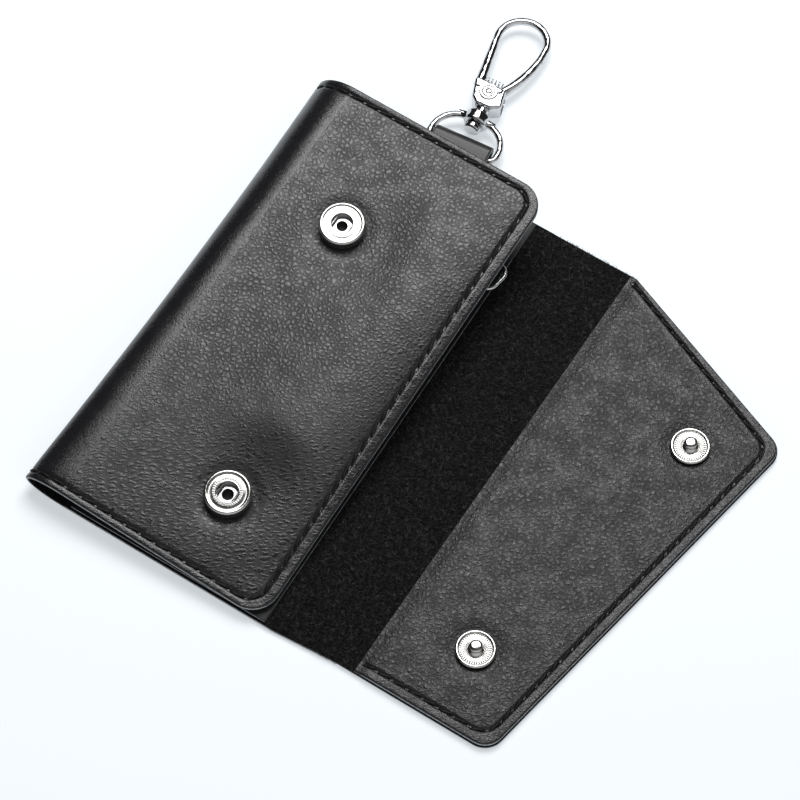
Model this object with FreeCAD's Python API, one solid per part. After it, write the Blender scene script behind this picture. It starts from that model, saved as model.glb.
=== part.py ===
import FreeCAD, Part
import math
import os

from FreeCAD import Placement, Rotation, Vector

# A folding leather key case with a snap flap and a swivel clasp, in millimetres.
# The case lies open on a table as it is used to show its inside: the back panel is flat on the
# table, the front cover rests over the key hooks and the closing flap is folded out to the right.
# X runs from the spine to the flap, Y from the plain end to the clasp end, Z up.
# The origin is the centre of the back panel's outer face under the closed case.

# Leather panels
case_length = 110.0
case_width = 58.0
shell_thickness = 1.1
lining_thickness = 0.6
facing_thickness = 0.8
corner_radius = 6.0

# Front cover: it leans up toward the clasp end and falls toward its free edge
cover_rise = 10.0
cover_fall = 3.25
cover_corner_gap = 0.25
spine_leg = 0.75
panel_seat_gap = 0.02
lining_spine_gap = 1.5
lining_free_edge_inset = 0.6

# Back panel and the bare suede strip that folds
back_overhang = 2.0
fold_strip_width = 15.4
back_lining_top_inset = 2.2
back_lining_bottom_overhang = 0.4
lining_end_inset = 0.5
strip_taper = 1.1

# Closing flap, measured outward from the fold axis
flap_upper_reach = 59.6
flap_lower_reach = 43.6
flap_upper_drop = 18.9
flap_corner_radius = 4.5
facing_start = 11.7
facing_slant_start = 13.0
facing_edge_inset = 0.25

# Seams
thread_radius = 0.32
stitch_pitch = 3.6
stitch_length = 2.7
seam_end_margin = 1.8
seam_side_margin = 2.6
seam_tail = 3.0

# Press snaps: studs on the flap, sockets on the cover
upper_stud_edge_inset = 14.922
upper_stud_end_inset = 28.9
lower_stud_edge_inset = 16.84
lower_stud_end_inset = 18.2
stud_radius = 4.2
stud_disc_thickness = 0.7
stud_rim_height = 0.25
stud_rim_width = 0.55
knob_radius = 1.4
knob_neck_radius = 1.05
knob_height = 1.6
knob_cheek_height = 0.5
knob_crown_share = 0.5
stud_post_radius = 0.6
stud_flange_radius = 3.4
flange_thickness = 0.35
socket_radius = 5.05
socket_height = 2.2
socket_shoulder = 0.55
socket_floor = 0.3
socket_roof = 0.6
socket_hole_radius = 2.25
socket_cavity_radius = 3.2
socket_post_radius = 1.75
socket_post_bore = 1.25
socket_lip = 0.3
socket_flange_radius = 4.0
snap_wire_radius = 0.25
snap_wire_play = 0.25
snap_closed_gap = 0.15
fit_clearance = 0.05

# Loop strap, ring and clasp share one axis, which leans toward the spine
strap_lean = 5.8
strap_width = 13.8
strap_thickness = 1.2
strap_tail = 9.5
strap_flare = 3.0
strap_slack = 1.2
strap_centre_x = 3.4
strap_bar_beyond_end = 5.9
ring_wire_radius = 0.75
ring_side_play = 0.32
ring_corner_radius = 1.6
ring_side_run = 0.8
ring_depth = 8.5
ring_bar_play = 0.2
boss_radius = 2.8
boss_length = 2.8
boss_flare_length = 1.6
boss_reach_share = 0.6
boss_rounding = 0.65
post_radius = 1.1
post_head_radius = 1.9
post_head_height = 1.5
post_head_rounding = 0.45
swivel_clearance = 0.08
swivel_end_play = 0.15
strap_rivet_radius = 1.2
strap_rivet_head_radius = 2.2
rivet_head_height = 0.6
rivet_crown_share = 0.6

# Clasp, measured along its axis from the middle of the ring's boss
bow_wire_radius = 0.85
bow_radius = 5.6
bow_centre = 22.6
arm_root_radius = 1.2
arm_root_side = 3.5
arm_root = 8.2
clasp_half_thickness = 2.4
neck_radius = 1.75
base_start = 2.6
base_top = 9.0
base_left_low = 3.2
base_left_high = 4.7
base_right_low = 3.9
base_right_high = 3.0
wing_start = 4.0
pivot_side = -0.3
pivot_along = 6.3
gate_eye_radius = 2.1
gate_arm_radius = 1.2
gate_end_radius = 0.8
gate_bow_out = 1.3
gate_root_side_share = 0.5
gate_root_along_share = 0.25
gate_slot_clearance = 0.15
gate_tip_gap = 0.12
gate_tip_below_bow = 2.8
gate_pin_radius = 0.8
gate_pin_head_radius = 1.7
gate_pin_head_height = 0.25
base_corner_radius = 0.6
base_edge_radius = 0.7

# Gate spring, a small coil between the fixed arm and the gate
spring_along = 10.2
spring_coil_radius = 0.75
spring_wire_radius = 0.16
spring_turns = 4
spring_end_gap = 0.3

# Key hooks on a riveted plate
hook_count = 6
hook_level_count = 3
hook_spacing = 4.6
hook_plate_centre_x = -3.2
hook_row_end_inset = 16.2
hook_plate_height = 11.0
hook_plate_end_margin = 3.2
hook_plate_thickness = 1.0
hook_plate_corner = 2.0
hook_length = 21.4
hook_wire_radius = 0.48
hook_half_width = 3.3
hook_corner_radius = 2.2
hook_eye_wall = 1.32
hook_pin_radius = 0.8
hook_pin_head_radius = 1.7
hook_running_gap = 0.12
hook_level_gap = 0.65
end_hook_swing = 81.3
plate_rivet_radius = 0.9
plate_rivet_head_radius = 1.5
plate_rivet_inset = 1.9
cut_overrun = 2.0

# Places worked out from the sizes above
half_length = case_length / 2
half_width = case_width / 2
back_edge = half_width + back_overhang
fold_axis_x = back_edge + fold_strip_width / 2
flap_start = back_edge + fold_strip_width
flap_bottom = strip_taper - half_length
back_stack = shell_thickness + lining_thickness
cover_slope_x = -cover_fall / case_width
cover_slope_y = cover_rise / case_length
cover_stretch = math.sqrt(1 + cover_slope_x ** 2 + cover_slope_y ** 2)
cover_height = (back_stack + cover_corner_gap + back_stack * cover_stretch
                + cover_rise / 2 + cover_fall / 2)
cover_normal = Vector(-cover_slope_x, -cover_slope_y, 1) / cover_stretch
cover_turn = Rotation(Vector(0, 0, 1), cover_normal)
cover_lean = math.sqrt(1 + cover_slope_x ** 2)
spine_tall_radius = ((cover_height + cover_slope_y * half_length - cover_slope_x * half_width)
                     / (1 + cover_lean - cover_slope_x))
spine_line = spine_tall_radius * (1 - cover_slope_x / cover_lean) + spine_leg - half_width
flap_face = shell_thickness + facing_thickness
snap_gap = socket_height + stud_disc_thickness + snap_closed_gap
strap_level = back_stack + strap_thickness
strap_place = Placement(
    Vector(strap_centre_x, half_length + strap_bar_beyond_end, strap_level),
    Rotation(Vector(0, 0, 1), strap_lean))
plate_top = back_stack + hook_plate_thickness
hook_row_y = half_length - hook_row_end_inset
large = 2 * (case_length + case_width)
up = Vector(0, 0, 1)


def cover_z(x, y):
    """Height of the cover's outer face."""
    return cover_height + cover_slope_x * x + cover_slope_y * y


def closing_motion():
    """The turn that lays the flap's facing on the cover, one snap height above it."""
    level = cover_height + snap_gap * cover_stretch
    share = 1 / (cover_stretch + 1)
    axis_z = (cover_stretch * flap_face + level + cover_slope_x * fold_axis_x) * share
    axis = Vector(0, 1, cover_slope_y * share).normalize()
    start = up - axis * up.dot(axis)
    end = -cover_normal - axis * (-cover_normal).dot(axis)
    angle = math.degrees(math.atan2(axis.dot(start.cross(end)), start.dot(end))) % 360
    turn_back = angle - 360
    point = Vector(fold_axis_x, 0, axis_z)
    return point, axis, turn_back


def turned(point, pivot, axis, degrees):
    return pivot + Rotation(axis, degrees).multVec(point - pivot)


# Outlines and simple solids

def corner_arc(before, corner, after, radius):
    """Tangent points and middle of the arc that rounds one corner of an outline."""
    to_before = (before - corner).normalize()
    to_after = (after - corner).normalize()
    half = to_before.getAngle(to_after) / 2
    setback = radius / math.tan(half)
    middle_way = (to_before + to_after).normalize()
    middle = corner + middle_way * (radius / math.sin(half) - radius)
    return corner + to_before * setback, middle, corner + to_after * setback


def rounded_outline(points, radii, closed=True):
    """A wire of straight runs with each corner rounded by its own radius, 0 for a sharp one."""
    count = len(points)
    edges = []
    previous = None
    first = None
    for index, (corner, radius) in enumerate(zip(points, radii)):
        if radius > 0:
            after = points[(index + 1) % count]
            start, middle, end = corner_arc(points[index - 1], corner, after, radius)
        else:
            start, middle, end = corner, None, corner
        if previous is not None:
            edges.append(Part.LineSegment(previous, start).toShape())
        else:
            first = start
        if middle is not None:
            edges.append(Part.Arc(start, middle, end).toShape())
        previous = end
    if closed:
        edges.append(Part.LineSegment(previous, first).toShape())
    return Part.Wire(edges)


def plan(*pairs):
    return [Vector(x, y, 0) for x, y in pairs]


def sheet(outline, bottom, thickness):
    """A flat sheet of the given outline, standing on the height bottom."""
    face = Part.Face(outline)
    face.translate(Vector(0, 0, bottom))
    return face.extrude(Vector(0, 0, thickness))


def cover_sheet(outline, depth, thickness):
    """A sheet parallel to the cover, its upper face depth below the cover's outer face."""
    column = sheet(outline, -large, 2 * large)
    slab = Part.makeBox(large, large, thickness, Vector(-large / 2, -large / 2, -depth - thickness))
    slab.Placement = Placement(Vector(0, 0, cover_height), cover_turn)
    return column.common(slab)


def turned_solid(profile):
    """A solid turned about Z from a closed outline of (radius, height) points."""
    points = [Vector(radius, 0, height) for radius, height in profile]
    face = Part.Face(Part.makePolygon(points + points[:1]))
    return face.revolve(Vector(0, 0, 0), up, 360)


def rod(radius, length, start, direction=up):
    return Part.makeCylinder(radius, length, start, direction)


def placed(shape, placement):
    copy = shape.copy()
    copy.Placement = placement.multiply(copy.Placement)
    return copy


# Where the snaps sit

def flap_edge_reach(y):
    """How far the flap's straight outer edge lies from the fold at y."""
    upper_y = half_length - flap_upper_drop
    share = (y - flap_bottom) / (upper_y - flap_bottom)
    return flap_lower_reach + (flap_upper_reach - flap_lower_reach) * share


def stud_places():
    upper_y = half_length - upper_stud_end_inset
    lower_y = lower_stud_end_inset - half_length
    upper_stud_reach = flap_edge_reach(upper_y) - upper_stud_edge_inset
    lower_stud_reach = flap_edge_reach(lower_y) - lower_stud_edge_inset
    return {
        "upper": Vector(fold_axis_x + upper_stud_reach, upper_y, flap_face),
        "lower": Vector(fold_axis_x + lower_stud_reach, lower_y, flap_face),
    }


def socket_placement(stud_place):
    """The socket stands on the cover under the stud's place on the closed flap."""
    pivot, axis, degrees = closing_motion()
    landing = turned(stud_place, pivot, axis, degrees)
    return Placement(landing - cover_normal * snap_gap, cover_turn)


# Leather

def cover_outline(inset_left, inset_right, inset_end):
    left = spine_line + inset_left
    right = half_width - inset_right
    end = half_length - inset_end
    radius = corner_radius - inset_right
    return rounded_outline(
        plan((left, -end), (right, -end), (right, end), (left, end)), (0, radius, radius, 0))


def front_cover():
    shape = cover_sheet(cover_outline(0, 0, 0), 0, shell_thickness)
    for place in stud_places().values():
        spot = socket_placement(place)
        hole = rod(socket_post_radius + fit_clearance, 2 * cut_overrun, Vector(0, 0, -cut_overrun))
        recess = rod(socket_flange_radius + fit_clearance, cut_overrun,
                     Vector(0, 0, flange_thickness - shell_thickness - cut_overrun))
        shape = shape.cut(placed(hole.fuse(recess), spot))
    return shape


def cover_lining():
    outline = cover_outline(lining_spine_gap, lining_free_edge_inset, lining_end_inset)
    return cover_sheet(outline, shell_thickness, lining_thickness)


def spine_section(y):
    """The spine's band at one end: floor leg, round back and upper leg."""
    def band(left, floor, drop):
        level = cover_height + cover_slope_y * y - drop
        radius = (level + cover_slope_x * left - floor) / (1 + cover_lean - cover_slope_x)
        centre = Vector(left + radius, y, floor + radius)
        upper = centre + Vector(-cover_slope_x, 0, 1) * (radius / cover_lean)
        low = Vector(spine_line - panel_seat_gap, y, floor)
        high = Vector(low.x, y, level + cover_slope_x * low.x)
        return [low, Vector(centre.x, y, floor), Vector(left, y, centre.z), upper, high]

    outer = band(-half_width, 0, 0)
    inner = band(shell_thickness - half_width, shell_thickness, shell_thickness * cover_stretch)
    edges = [
        Part.LineSegment(outer[0], outer[1]).toShape(),
        Part.Arc(outer[1], outer[2], outer[3]).toShape(),
        Part.LineSegment(outer[3], outer[4]).toShape(),
        Part.LineSegment(outer[4], inner[4]).toShape(),
        Part.LineSegment(inner[4], inner[3]).toShape(),
        Part.Arc(inner[3], inner[2], inner[1]).toShape(),
        Part.LineSegment(inner[1], inner[0]).toShape(),
        Part.LineSegment(inner[0], outer[0]).toShape(),
    ]
    return Part.Wire(edges)


def spine():
    return Part.makeLoft([spine_section(-half_length), spine_section(half_length)], True, True)


def back_panel():
    outline = rounded_outline(
        plan((spine_line, -half_length), (back_edge, -half_length),
             (back_edge, half_length), (spine_line, half_length)), (0, 0, 0, 0))
    shape = sheet(outline, 0, shell_thickness)
    for place, flange in rivet_flanges():
        recess = rod(flange + fit_clearance, cut_overrun,
                     Vector(place.x, place.y, shell_thickness - flange_thickness))
        shape = shape.cut(recess)
    return shape


def back_lining():
    end = half_length - lining_end_inset
    left = spine_line + lining_spine_gap
    outline = rounded_outline(
        plan((left, -end), (half_width + back_lining_bottom_overhang, -end),
             (half_width - back_lining_top_inset, end), (left, end)), (0, 0, 0, 0))
    shape = sheet(outline, shell_thickness, lining_thickness)
    holes = [(place, strap_rivet_radius) for place in strap_rivet_places()]
    holes += [(place, plate_rivet_radius) for place in plate_rivet_places()]
    for place, radius in holes:
        shape = shape.cut(rod(radius + fit_clearance, large, Vector(place.x, place.y, 0)))
    return shape


def fold_strip():
    outline = rounded_outline(
        plan((back_edge + panel_seat_gap, -half_length), (flap_start - panel_seat_gap, flap_bottom),
             (flap_start - panel_seat_gap, half_length), (back_edge + panel_seat_gap, half_length)),
        (0, 0, 0, 0))
    return sheet(outline, 0, shell_thickness)


def flap_corners(start, inset):
    """The flap's outline from its inner edge, with all its outer edges drawn in by inset."""
    slant_start = Vector(fold_axis_x + facing_slant_start, half_length, 0)
    upper = Vector(fold_axis_x + flap_upper_reach, half_length - flap_upper_drop, 0)
    lower = Vector(fold_axis_x + flap_lower_reach, flap_bottom, 0)
    inner = Vector(start, flap_bottom, 0)
    outer_way = (upper - lower).normalize()
    slant_way = (slant_start - upper).normalize()
    outer_normal = Vector(outer_way.y, -outer_way.x, 0)
    slant_normal = Vector(slant_way.y, -slant_way.x, 0)
    bottom_line = inner.y + inset
    lower_in = lower - outer_normal * inset
    lower_in += outer_way * ((bottom_line - lower_in.y) / outer_way.y)
    turn = outer_way.getAngle(slant_way)
    upper_in = upper - (outer_normal + slant_normal) * (inset / (1 + math.cos(turn)))
    top_line = half_length - inset
    slant_in = upper_in + slant_way * ((top_line - upper_in.y) / slant_way.y)
    return [Vector(start, bottom_line, 0), lower_in, upper_in, slant_in, Vector(start, top_line, 0)]


def flap():
    outline = rounded_outline(flap_corners(flap_start, 0),
                              (0, flap_corner_radius, flap_corner_radius, 0, 0))
    return sheet(outline, 0, shell_thickness)


def flap_facing():
    radius = flap_corner_radius - facing_edge_inset
    outline = rounded_outline(flap_corners(fold_axis_x + facing_start, facing_edge_inset),
                              (0, radius, radius, 0, 0))
    shape = sheet(outline, shell_thickness, facing_thickness)
    for place in stud_places().values():
        seat = Vector(place.x, place.y, shell_thickness)
        hole = rod(stud_post_radius + fit_clearance, facing_thickness, seat)
        recess = rod(stud_flange_radius + fit_clearance, flange_thickness, seat)
        shape = shape.cut(hole.fuse(recess))
    return shape


# Seams

def stitch(start, end, normal):
    """One half-round stitch lying on a face with the given normal."""
    along = (end - start).normalize()
    middle = (start + end) / 2
    tail = middle - along * (stitch_length / 2)
    side = normal.cross(along) * thread_radius
    arc = Part.Arc(tail - side, tail + normal * thread_radius, tail + side).toShape()
    base = Part.LineSegment(tail + side, tail - side).toShape()
    return Part.Face(Part.Wire([arc, base])).extrude(along * stitch_length)


def seam(path, height_at, normal):
    """Stitches at an even pitch along a plan path, lifted to the face below them."""
    count = round(path.Length / stitch_pitch)
    points = [Vector(p.x, p.y, height_at(p)) for p in path.discretize(Number=count + 1)]
    stitches = [stitch(start, end, normal) for start, end in zip(points, points[1:])]
    return Part.makeCompound(stitches)


def cover_seam():
    left = spine_line + seam_tail
    right = half_width - seam_side_margin
    end = half_length - seam_end_margin
    radius = corner_radius - seam_end_margin
    path = rounded_outline(plan((left, -end), (right, -end), (right, end), (left, end)),
                           (0, radius, radius, 0), closed=False)
    return seam(path, lambda p: cover_z(p.x, p.y), cover_normal)


def flap_seam():
    start = fold_axis_x + facing_start + seam_tail
    corners = flap_corners(start, seam_side_margin)
    radius = flap_corner_radius - seam_end_margin
    slant = corners[3]
    path = rounded_outline(corners[:3] + [slant], (0, radius, radius, 0), closed=False)
    return seam(path, lambda p: flap_face, up)


# Press snaps

def stud():
    """Disc with a raised rim and a headed knob, standing on the facing."""
    disc = stud_disc_thickness
    floor = disc - stud_rim_height
    cheek = disc + knob_height - knob_cheek_height
    crown_radius = knob_radius * knob_crown_share
    return turned_solid([
        (stud_post_radius + fit_clearance, 0), (stud_radius - stud_rim_width / 2, 0),
        (stud_radius, disc / 2), (stud_radius - stud_rim_width / 2, disc),
        (stud_radius - stud_rim_width, disc), (stud_radius - 2 * stud_rim_width, floor),
        (knob_radius, floor), (knob_neck_radius, disc),
        (knob_neck_radius, cheek - knob_cheek_height), (knob_radius, cheek),
        (crown_radius, disc + knob_height), (0, disc + knob_height),
        (0, disc), (stud_post_radius + fit_clearance, disc)])


def stud_post():
    """Flange under the facing with a shank up into the stud."""
    bottom = -facing_thickness
    top = stud_disc_thickness - fit_clearance
    return turned_solid([
        (0, bottom), (stud_flange_radius, bottom), (stud_flange_radius, bottom + flange_thickness),
        (stud_post_radius, bottom + flange_thickness), (stud_post_radius, top), (0, top)])


def socket():
    """Ring with a hole for the knob and a cavity for the two spring wires."""
    roof = socket_height - socket_roof
    bore = socket_post_radius + fit_clearance
    return turned_solid([
        (bore, 0), (socket_radius, 0), (socket_radius, socket_height - socket_shoulder),
        (socket_radius - socket_shoulder, socket_height), (socket_hole_radius, socket_height),
        (socket_hole_radius, roof), (socket_cavity_radius, roof),
        (socket_cavity_radius, socket_floor), (bore, socket_floor)])


def socket_wires():
    """Two straight spring wires that grip the knob from both sides."""
    side = knob_radius + snap_wire_play + snap_wire_radius
    reach = socket_cavity_radius - fit_clearance
    half = math.sqrt(reach ** 2 - (side + snap_wire_radius) ** 2)
    level = socket_height - socket_roof - snap_wire_radius - fit_clearance
    along = Vector(0, 1, 0)
    wires = [rod(snap_wire_radius, 2 * half, Vector(x, -half, level), along) for x in (-side, side)]
    return Part.makeCompound(wires)


def socket_post():
    """Tube through the cover with a flange inside and a rolled lip on the socket's floor."""
    bottom = -shell_thickness
    lip_top = socket_floor + socket_lip
    lip = socket_post_radius + socket_lip
    return turned_solid([
        (socket_post_bore, bottom), (socket_flange_radius, bottom),
        (socket_flange_radius, bottom + flange_thickness),
        (socket_post_radius, bottom + flange_thickness), (socket_post_radius, socket_floor),
        (lip, socket_floor), (lip, lip_top), (socket_post_bore, lip_top)])


# Loop strap and its rivet, in the strap's own frame with the ring's bar at the origin

def strap_rivet_places():
    seat = half_length - strap_tail / 2
    along = (seat - strap_place.Base.y) / math.cos(math.radians(strap_lean))
    return [strap_place.multVec(Vector(0, along, 0))]


def loop_strap():
    """A strap folded loosely round the ring's bar, its two tails lying flat on the lining."""
    inner = ring_wire_radius + ring_bar_play
    outer = inner + strap_thickness
    tail_end = -(strap_bar_beyond_end + strap_tail)
    flat_end = -(outer + strap_flare)
    run = strap_slack - flat_end
    lift = math.hypot(run, strap_thickness)
    swing = math.atan2(strap_thickness, run)
    touch = math.pi - swing - math.acos(outer / lift)
    high = Vector(0, strap_slack + outer * math.cos(touch), outer * math.sin(touch))
    low = Vector(0, high.y, -high.z)
    edges = [
        Part.LineSegment(Vector(0, tail_end, strap_thickness), Vector(0, flat_end, strap_thickness)),
        Part.LineSegment(Vector(0, flat_end, strap_thickness), high),
        Part.Arc(high, Vector(0, strap_slack + outer, 0), low),
        Part.LineSegment(low, Vector(0, flat_end, -strap_thickness)),
        Part.LineSegment(Vector(0, flat_end, -strap_thickness), Vector(0, tail_end, -strap_thickness)),
        Part.LineSegment(Vector(0, tail_end, -strap_thickness), Vector(0, tail_end, strap_thickness)),
    ]
    side = Part.Face(Part.Wire([edge.toShape() for edge in edges]))
    side.translate(Vector(-strap_width / 2, 0, 0))
    band = side.extrude(Vector(strap_width, 0, 0))
    room = Part.makeBox(large, strap_slack, 2 * inner, Vector(-large / 2, 0, -inner))
    for side_y in (0, strap_slack):
        room = room.fuse(rod(inner, large, Vector(-large / 2, side_y, 0), Vector(1, 0, 0)))
    band = placed(band.cut(room), strap_place)
    for place in strap_rivet_places():
        band = band.cut(rod(strap_rivet_radius + fit_clearance, large, Vector(place.x, place.y, 0)))
    return band


def headed_rivet(radius, head_radius, flange_radius, bottom, head_seat):
    """A rivet with a flat flange at the bottom and a domed head on its seat."""
    crown = head_radius * rivet_crown_share
    return turned_solid([
        (0, bottom), (flange_radius, bottom), (flange_radius, bottom + flange_thickness),
        (radius, bottom + flange_thickness), (radius, head_seat), (head_radius, head_seat),
        (head_radius, head_seat + rivet_head_height / 2), (crown, head_seat + rivet_head_height),
        (0, head_seat + rivet_head_height)])


def rivet_flanges():
    """Places and radii of the rivet flanges that sit between the lining and the back panel."""
    places = [(place, strap_rivet_head_radius) for place in strap_rivet_places()]
    places += [(place, plate_rivet_head_radius) for place in plate_rivet_places()]
    return places


def standing_at(shape, place):
    return placed(shape, Placement(Vector(place.x, place.y, 0), Rotation()))


def strap_rivet():
    rivet = headed_rivet(strap_rivet_radius, strap_rivet_head_radius, strap_rivet_head_radius,
                         shell_thickness - flange_thickness, strap_level + strap_thickness)
    return Part.makeCompound([standing_at(rivet, place) for place in strap_rivet_places()])


# Swivel ring and clasp, in the strap's frame

def ring_half_width():
    return strap_width / 2 + ring_side_play + ring_wire_radius


def wire_along(path, radius):
    """A round wire along a path of tangent edges."""
    start = path.OrderedVertexes[0].Point
    first = path.OrderedEdges[0]
    tangent = first.tangentAt(first.FirstParameter)
    section = Part.Wire([Part.makeCircle(radius, start, tangent)])
    return path.makePipeShell([section], True, True)


def tapered_wire(path, start_radius, end_radius):
    """A round wire along one edge that grows thinner toward its end."""
    edge = path.OrderedEdges[0]
    sections = []
    for parameter, radius in ((edge.FirstParameter, start_radius), (edge.LastParameter, end_radius)):
        sections.append(Part.Wire([Part.makeCircle(radius, edge.valueAt(parameter), edge.tangentAt(parameter))]))
    return path.makePipeShell(sections, True, True)


def swivel_ring():
    """A D ring: straight bar, rounded corners, arched sides and a bored boss at the top."""
    half = ring_half_width()
    corner = ring_corner_radius
    shoulder = corner + ring_side_run
    rise = ring_depth - shoulder
    run = half - boss_radius * boss_reach_share
    arch = (run ** 2 + rise ** 2) / (2 * run)
    centre_x = half - arch
    bend = math.asin(min(rise / arch, 1)) / 2
    diagonal = corner / math.sqrt(2)

    def mirrored(point, side):
        return Vector(side * point[0], point[1], 0)

    def side_path(side):
        corner_start = mirrored((half - corner, 0), side)
        corner_middle = mirrored((half - corner + diagonal, corner - diagonal), side)
        corner_end = mirrored((half, corner), side)
        arch_start = mirrored((half, shoulder), side)
        bulge = (centre_x + arch * math.cos(bend), shoulder + arch * math.sin(bend))
        arch_end = mirrored((half - run, ring_depth), side)
        return Part.Wire([
            Part.Arc(corner_start, corner_middle, corner_end).toShape(),
            Part.LineSegment(corner_end, arch_start).toShape(),
            Part.Arc(arch_start, mirrored(bulge, side), arch_end).toShape()])

    right = wire_along(side_path(1), ring_wire_radius)
    left = wire_along(side_path(-1), ring_wire_radius)
    bar = rod(ring_wire_radius, 2 * (half - corner), Vector(corner - half, 0, 0), Vector(1, 0, 0))
    along = Vector(0, 1, 0)
    boss_start = ring_depth - boss_length / 2
    boss = rod(boss_radius, boss_length, Vector(0, boss_start, 0), along)
    boss = boss.makeFillet(boss_rounding, [edge for edge in boss.Edges if edge.Closed])
    flares = []
    for side in (-1, 1):
        root = boss_length / 2
        reach = boss_radius + boss_flare_length
        centre = Vector(0, ring_depth, 0)
        flares.append(Part.makeCone(root, ring_wire_radius, reach, centre, Vector(side, 0, 0)))
    shape = bar.fuse([right, left, boss] + flares)
    shape = shape.cut(rod(post_radius + swivel_clearance, boss_length + 2 * cut_overrun,
                          Vector(0, boss_start - cut_overrun, 0), along))
    return placed(shape.removeSplitter(), strap_place)


def clasp_place():
    """The clasp's frame: origin in the boss, Y along the swivel axis."""
    return strap_place.multiply(Placement(Vector(0, ring_depth, 0), Rotation()))


def swivel_post():
    """Headed post that holds the clasp in the ring's boss."""
    along = Vector(0, 1, 0)
    inner = -(boss_length / 2 + swivel_end_play)
    head = rod(post_head_radius, post_head_height, Vector(0, inner - post_head_height, 0), along)
    rims = [edge for edge in head.Edges if edge.Closed]
    head = head.makeFillet(post_head_rounding, rims)
    shank = rod(post_radius, base_start - inner, Vector(0, inner, 0), along)
    return placed(head.fuse(shank).removeSplitter(), clasp_place())


def gate_tip_radius():
    return math.hypot(bow_radius - pivot_side, bow_centre - gate_tip_below_bow - pivot_along)


def clasp_base():
    """Forked block: a round neck, flared cheeks and a slot that holds the gate's eye."""
    outline = rounded_outline(
        plan((-neck_radius, base_start), (neck_radius, base_start), (base_right_low, wing_start),
             (base_right_high, pivot_along + gate_eye_radius), (-gate_eye_radius, base_top),
             (-base_left_high, base_top), (-base_left_low, wing_start)),
        (0, 0, base_corner_radius, base_corner_radius, base_corner_radius, base_corner_radius,
         base_corner_radius))
    block = sheet(outline, -clasp_half_thickness, 2 * clasp_half_thickness)
    rims = [edge for edge in block.Edges if edge.BoundBox.ZLength < base_edge_radius]
    block = block.makeFillet(base_edge_radius, rims)
    slot_half = gate_arm_radius + gate_slot_clearance
    slot_left = pivot_side - gate_eye_radius - gate_slot_clearance
    slot_low = pivot_along - gate_eye_radius - gate_slot_clearance
    slot = Part.makeBox(large, large, 2 * slot_half, Vector(slot_left, slot_low, -slot_half))
    neck_start = boss_length / 2 + swivel_end_play
    neck = rod(neck_radius, wing_start - neck_start, Vector(0, neck_start, 0), Vector(0, 1, 0))
    neck = neck.cut(slot)
    return block.cut(slot).fuse(neck)


def clasp_body():
    """Forked base with the fixed arm, the round bow and the nose that the gate closes on."""
    bow_centre_point = Vector(0, bow_centre, 0)
    root = Vector(-arm_root_side, arm_root, 0)
    to_centre = bow_centre_point - root
    touch = math.acos(bow_radius / to_centre.Length)
    toward_root = math.atan2(-to_centre.y, -to_centre.x) - touch

    def on_bow(angle):
        return bow_centre_point + Vector(math.cos(angle), math.sin(angle), 0) * bow_radius

    tangent_point = on_bow(toward_root)
    top_point = on_bow(math.pi / 2)
    right_point = on_bow(0)
    arm_way = tangent_point - root
    arm = Part.makeCone(arm_root_radius, bow_wire_radius, arm_way.Length, root, arm_way)
    bow = wire_along(Part.Wire([Part.Arc(tangent_point, top_point, right_point).toShape()]), bow_wire_radius)
    nose = rod(bow_wire_radius, bow_centre - pivot_along, right_point, Vector(0, -1, 0))
    below_pivot = Vector(pivot_side, pivot_along, -large)
    nose = nose.cut(rod(gate_tip_radius() + gate_tip_gap, 2 * large, below_pivot))
    shape = clasp_base().fuse([arm, bow, nose])
    shape = shape.cut(rod(gate_pin_radius + fit_clearance, 2 * large, below_pivot))
    post_hole = rod(post_radius + fit_clearance, base_start, Vector(0, 0, 0), Vector(0, 1, 0))
    return placed(shape.cut(post_hole).removeSplitter(), clasp_place())


def gate_chord():
    """Ends of the gate's curved arm, in its eye and at the bow's side."""
    root = Vector(pivot_side + gate_eye_radius * gate_root_side_share,
                  pivot_along + gate_eye_radius * gate_root_along_share, 0)
    return root, Vector(bow_radius, bow_centre, 0)


def clasp_gate():
    """Curved lever on the pivot pin, its tip closing under the bow's nose."""
    pivot = Vector(pivot_side, pivot_along, 0)
    start, tip = gate_chord()
    chord = tip - start
    outward = Vector(chord.y, -chord.x, 0).normalize()
    middle = (start + tip) / 2 + outward * gate_bow_out
    path = Part.Wire([Part.Arc(start, middle, tip).toShape()])
    arm = tapered_wire(path, gate_arm_radius, gate_end_radius)
    arm = arm.common(rod(gate_tip_radius() - gate_tip_gap, 2 * large, pivot - up * large))
    eye = rod(gate_eye_radius, 2 * gate_arm_radius, pivot - up * gate_arm_radius)
    bore = rod(gate_pin_radius + swivel_clearance, 2 * large, pivot - up * large)
    return placed(eye.fuse(arm).cut(bore).removeSplitter(), clasp_place())


def gate_pin():
    """Rivet with a flat head on each cheek."""
    half = clasp_half_thickness + gate_pin_head_height
    shape = turned_solid([
        (0, -half), (gate_pin_head_radius, -half), (gate_pin_head_radius, -clasp_half_thickness),
        (gate_pin_radius, -clasp_half_thickness), (gate_pin_radius, clasp_half_thickness),
        (gate_pin_head_radius, clasp_half_thickness), (gate_pin_head_radius, half), (0, half)])
    at_pivot = Placement(Vector(pivot_side, pivot_along, 0), Rotation())
    return placed(shape, clasp_place().multiply(at_pivot))


def arc_between(start, control, end):
    """The arc that leaves start toward the control point and reaches end from it."""
    middle = (start + end) / 2
    half_chord = (end - start).Length / 2
    rise = control - middle
    turn = math.atan2(rise.Length, half_chord)
    bulge = rise.normalize() * (half_chord * math.tan(turn / 2))
    return Part.Arc(start, middle + bulge, end).toShape()


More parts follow.
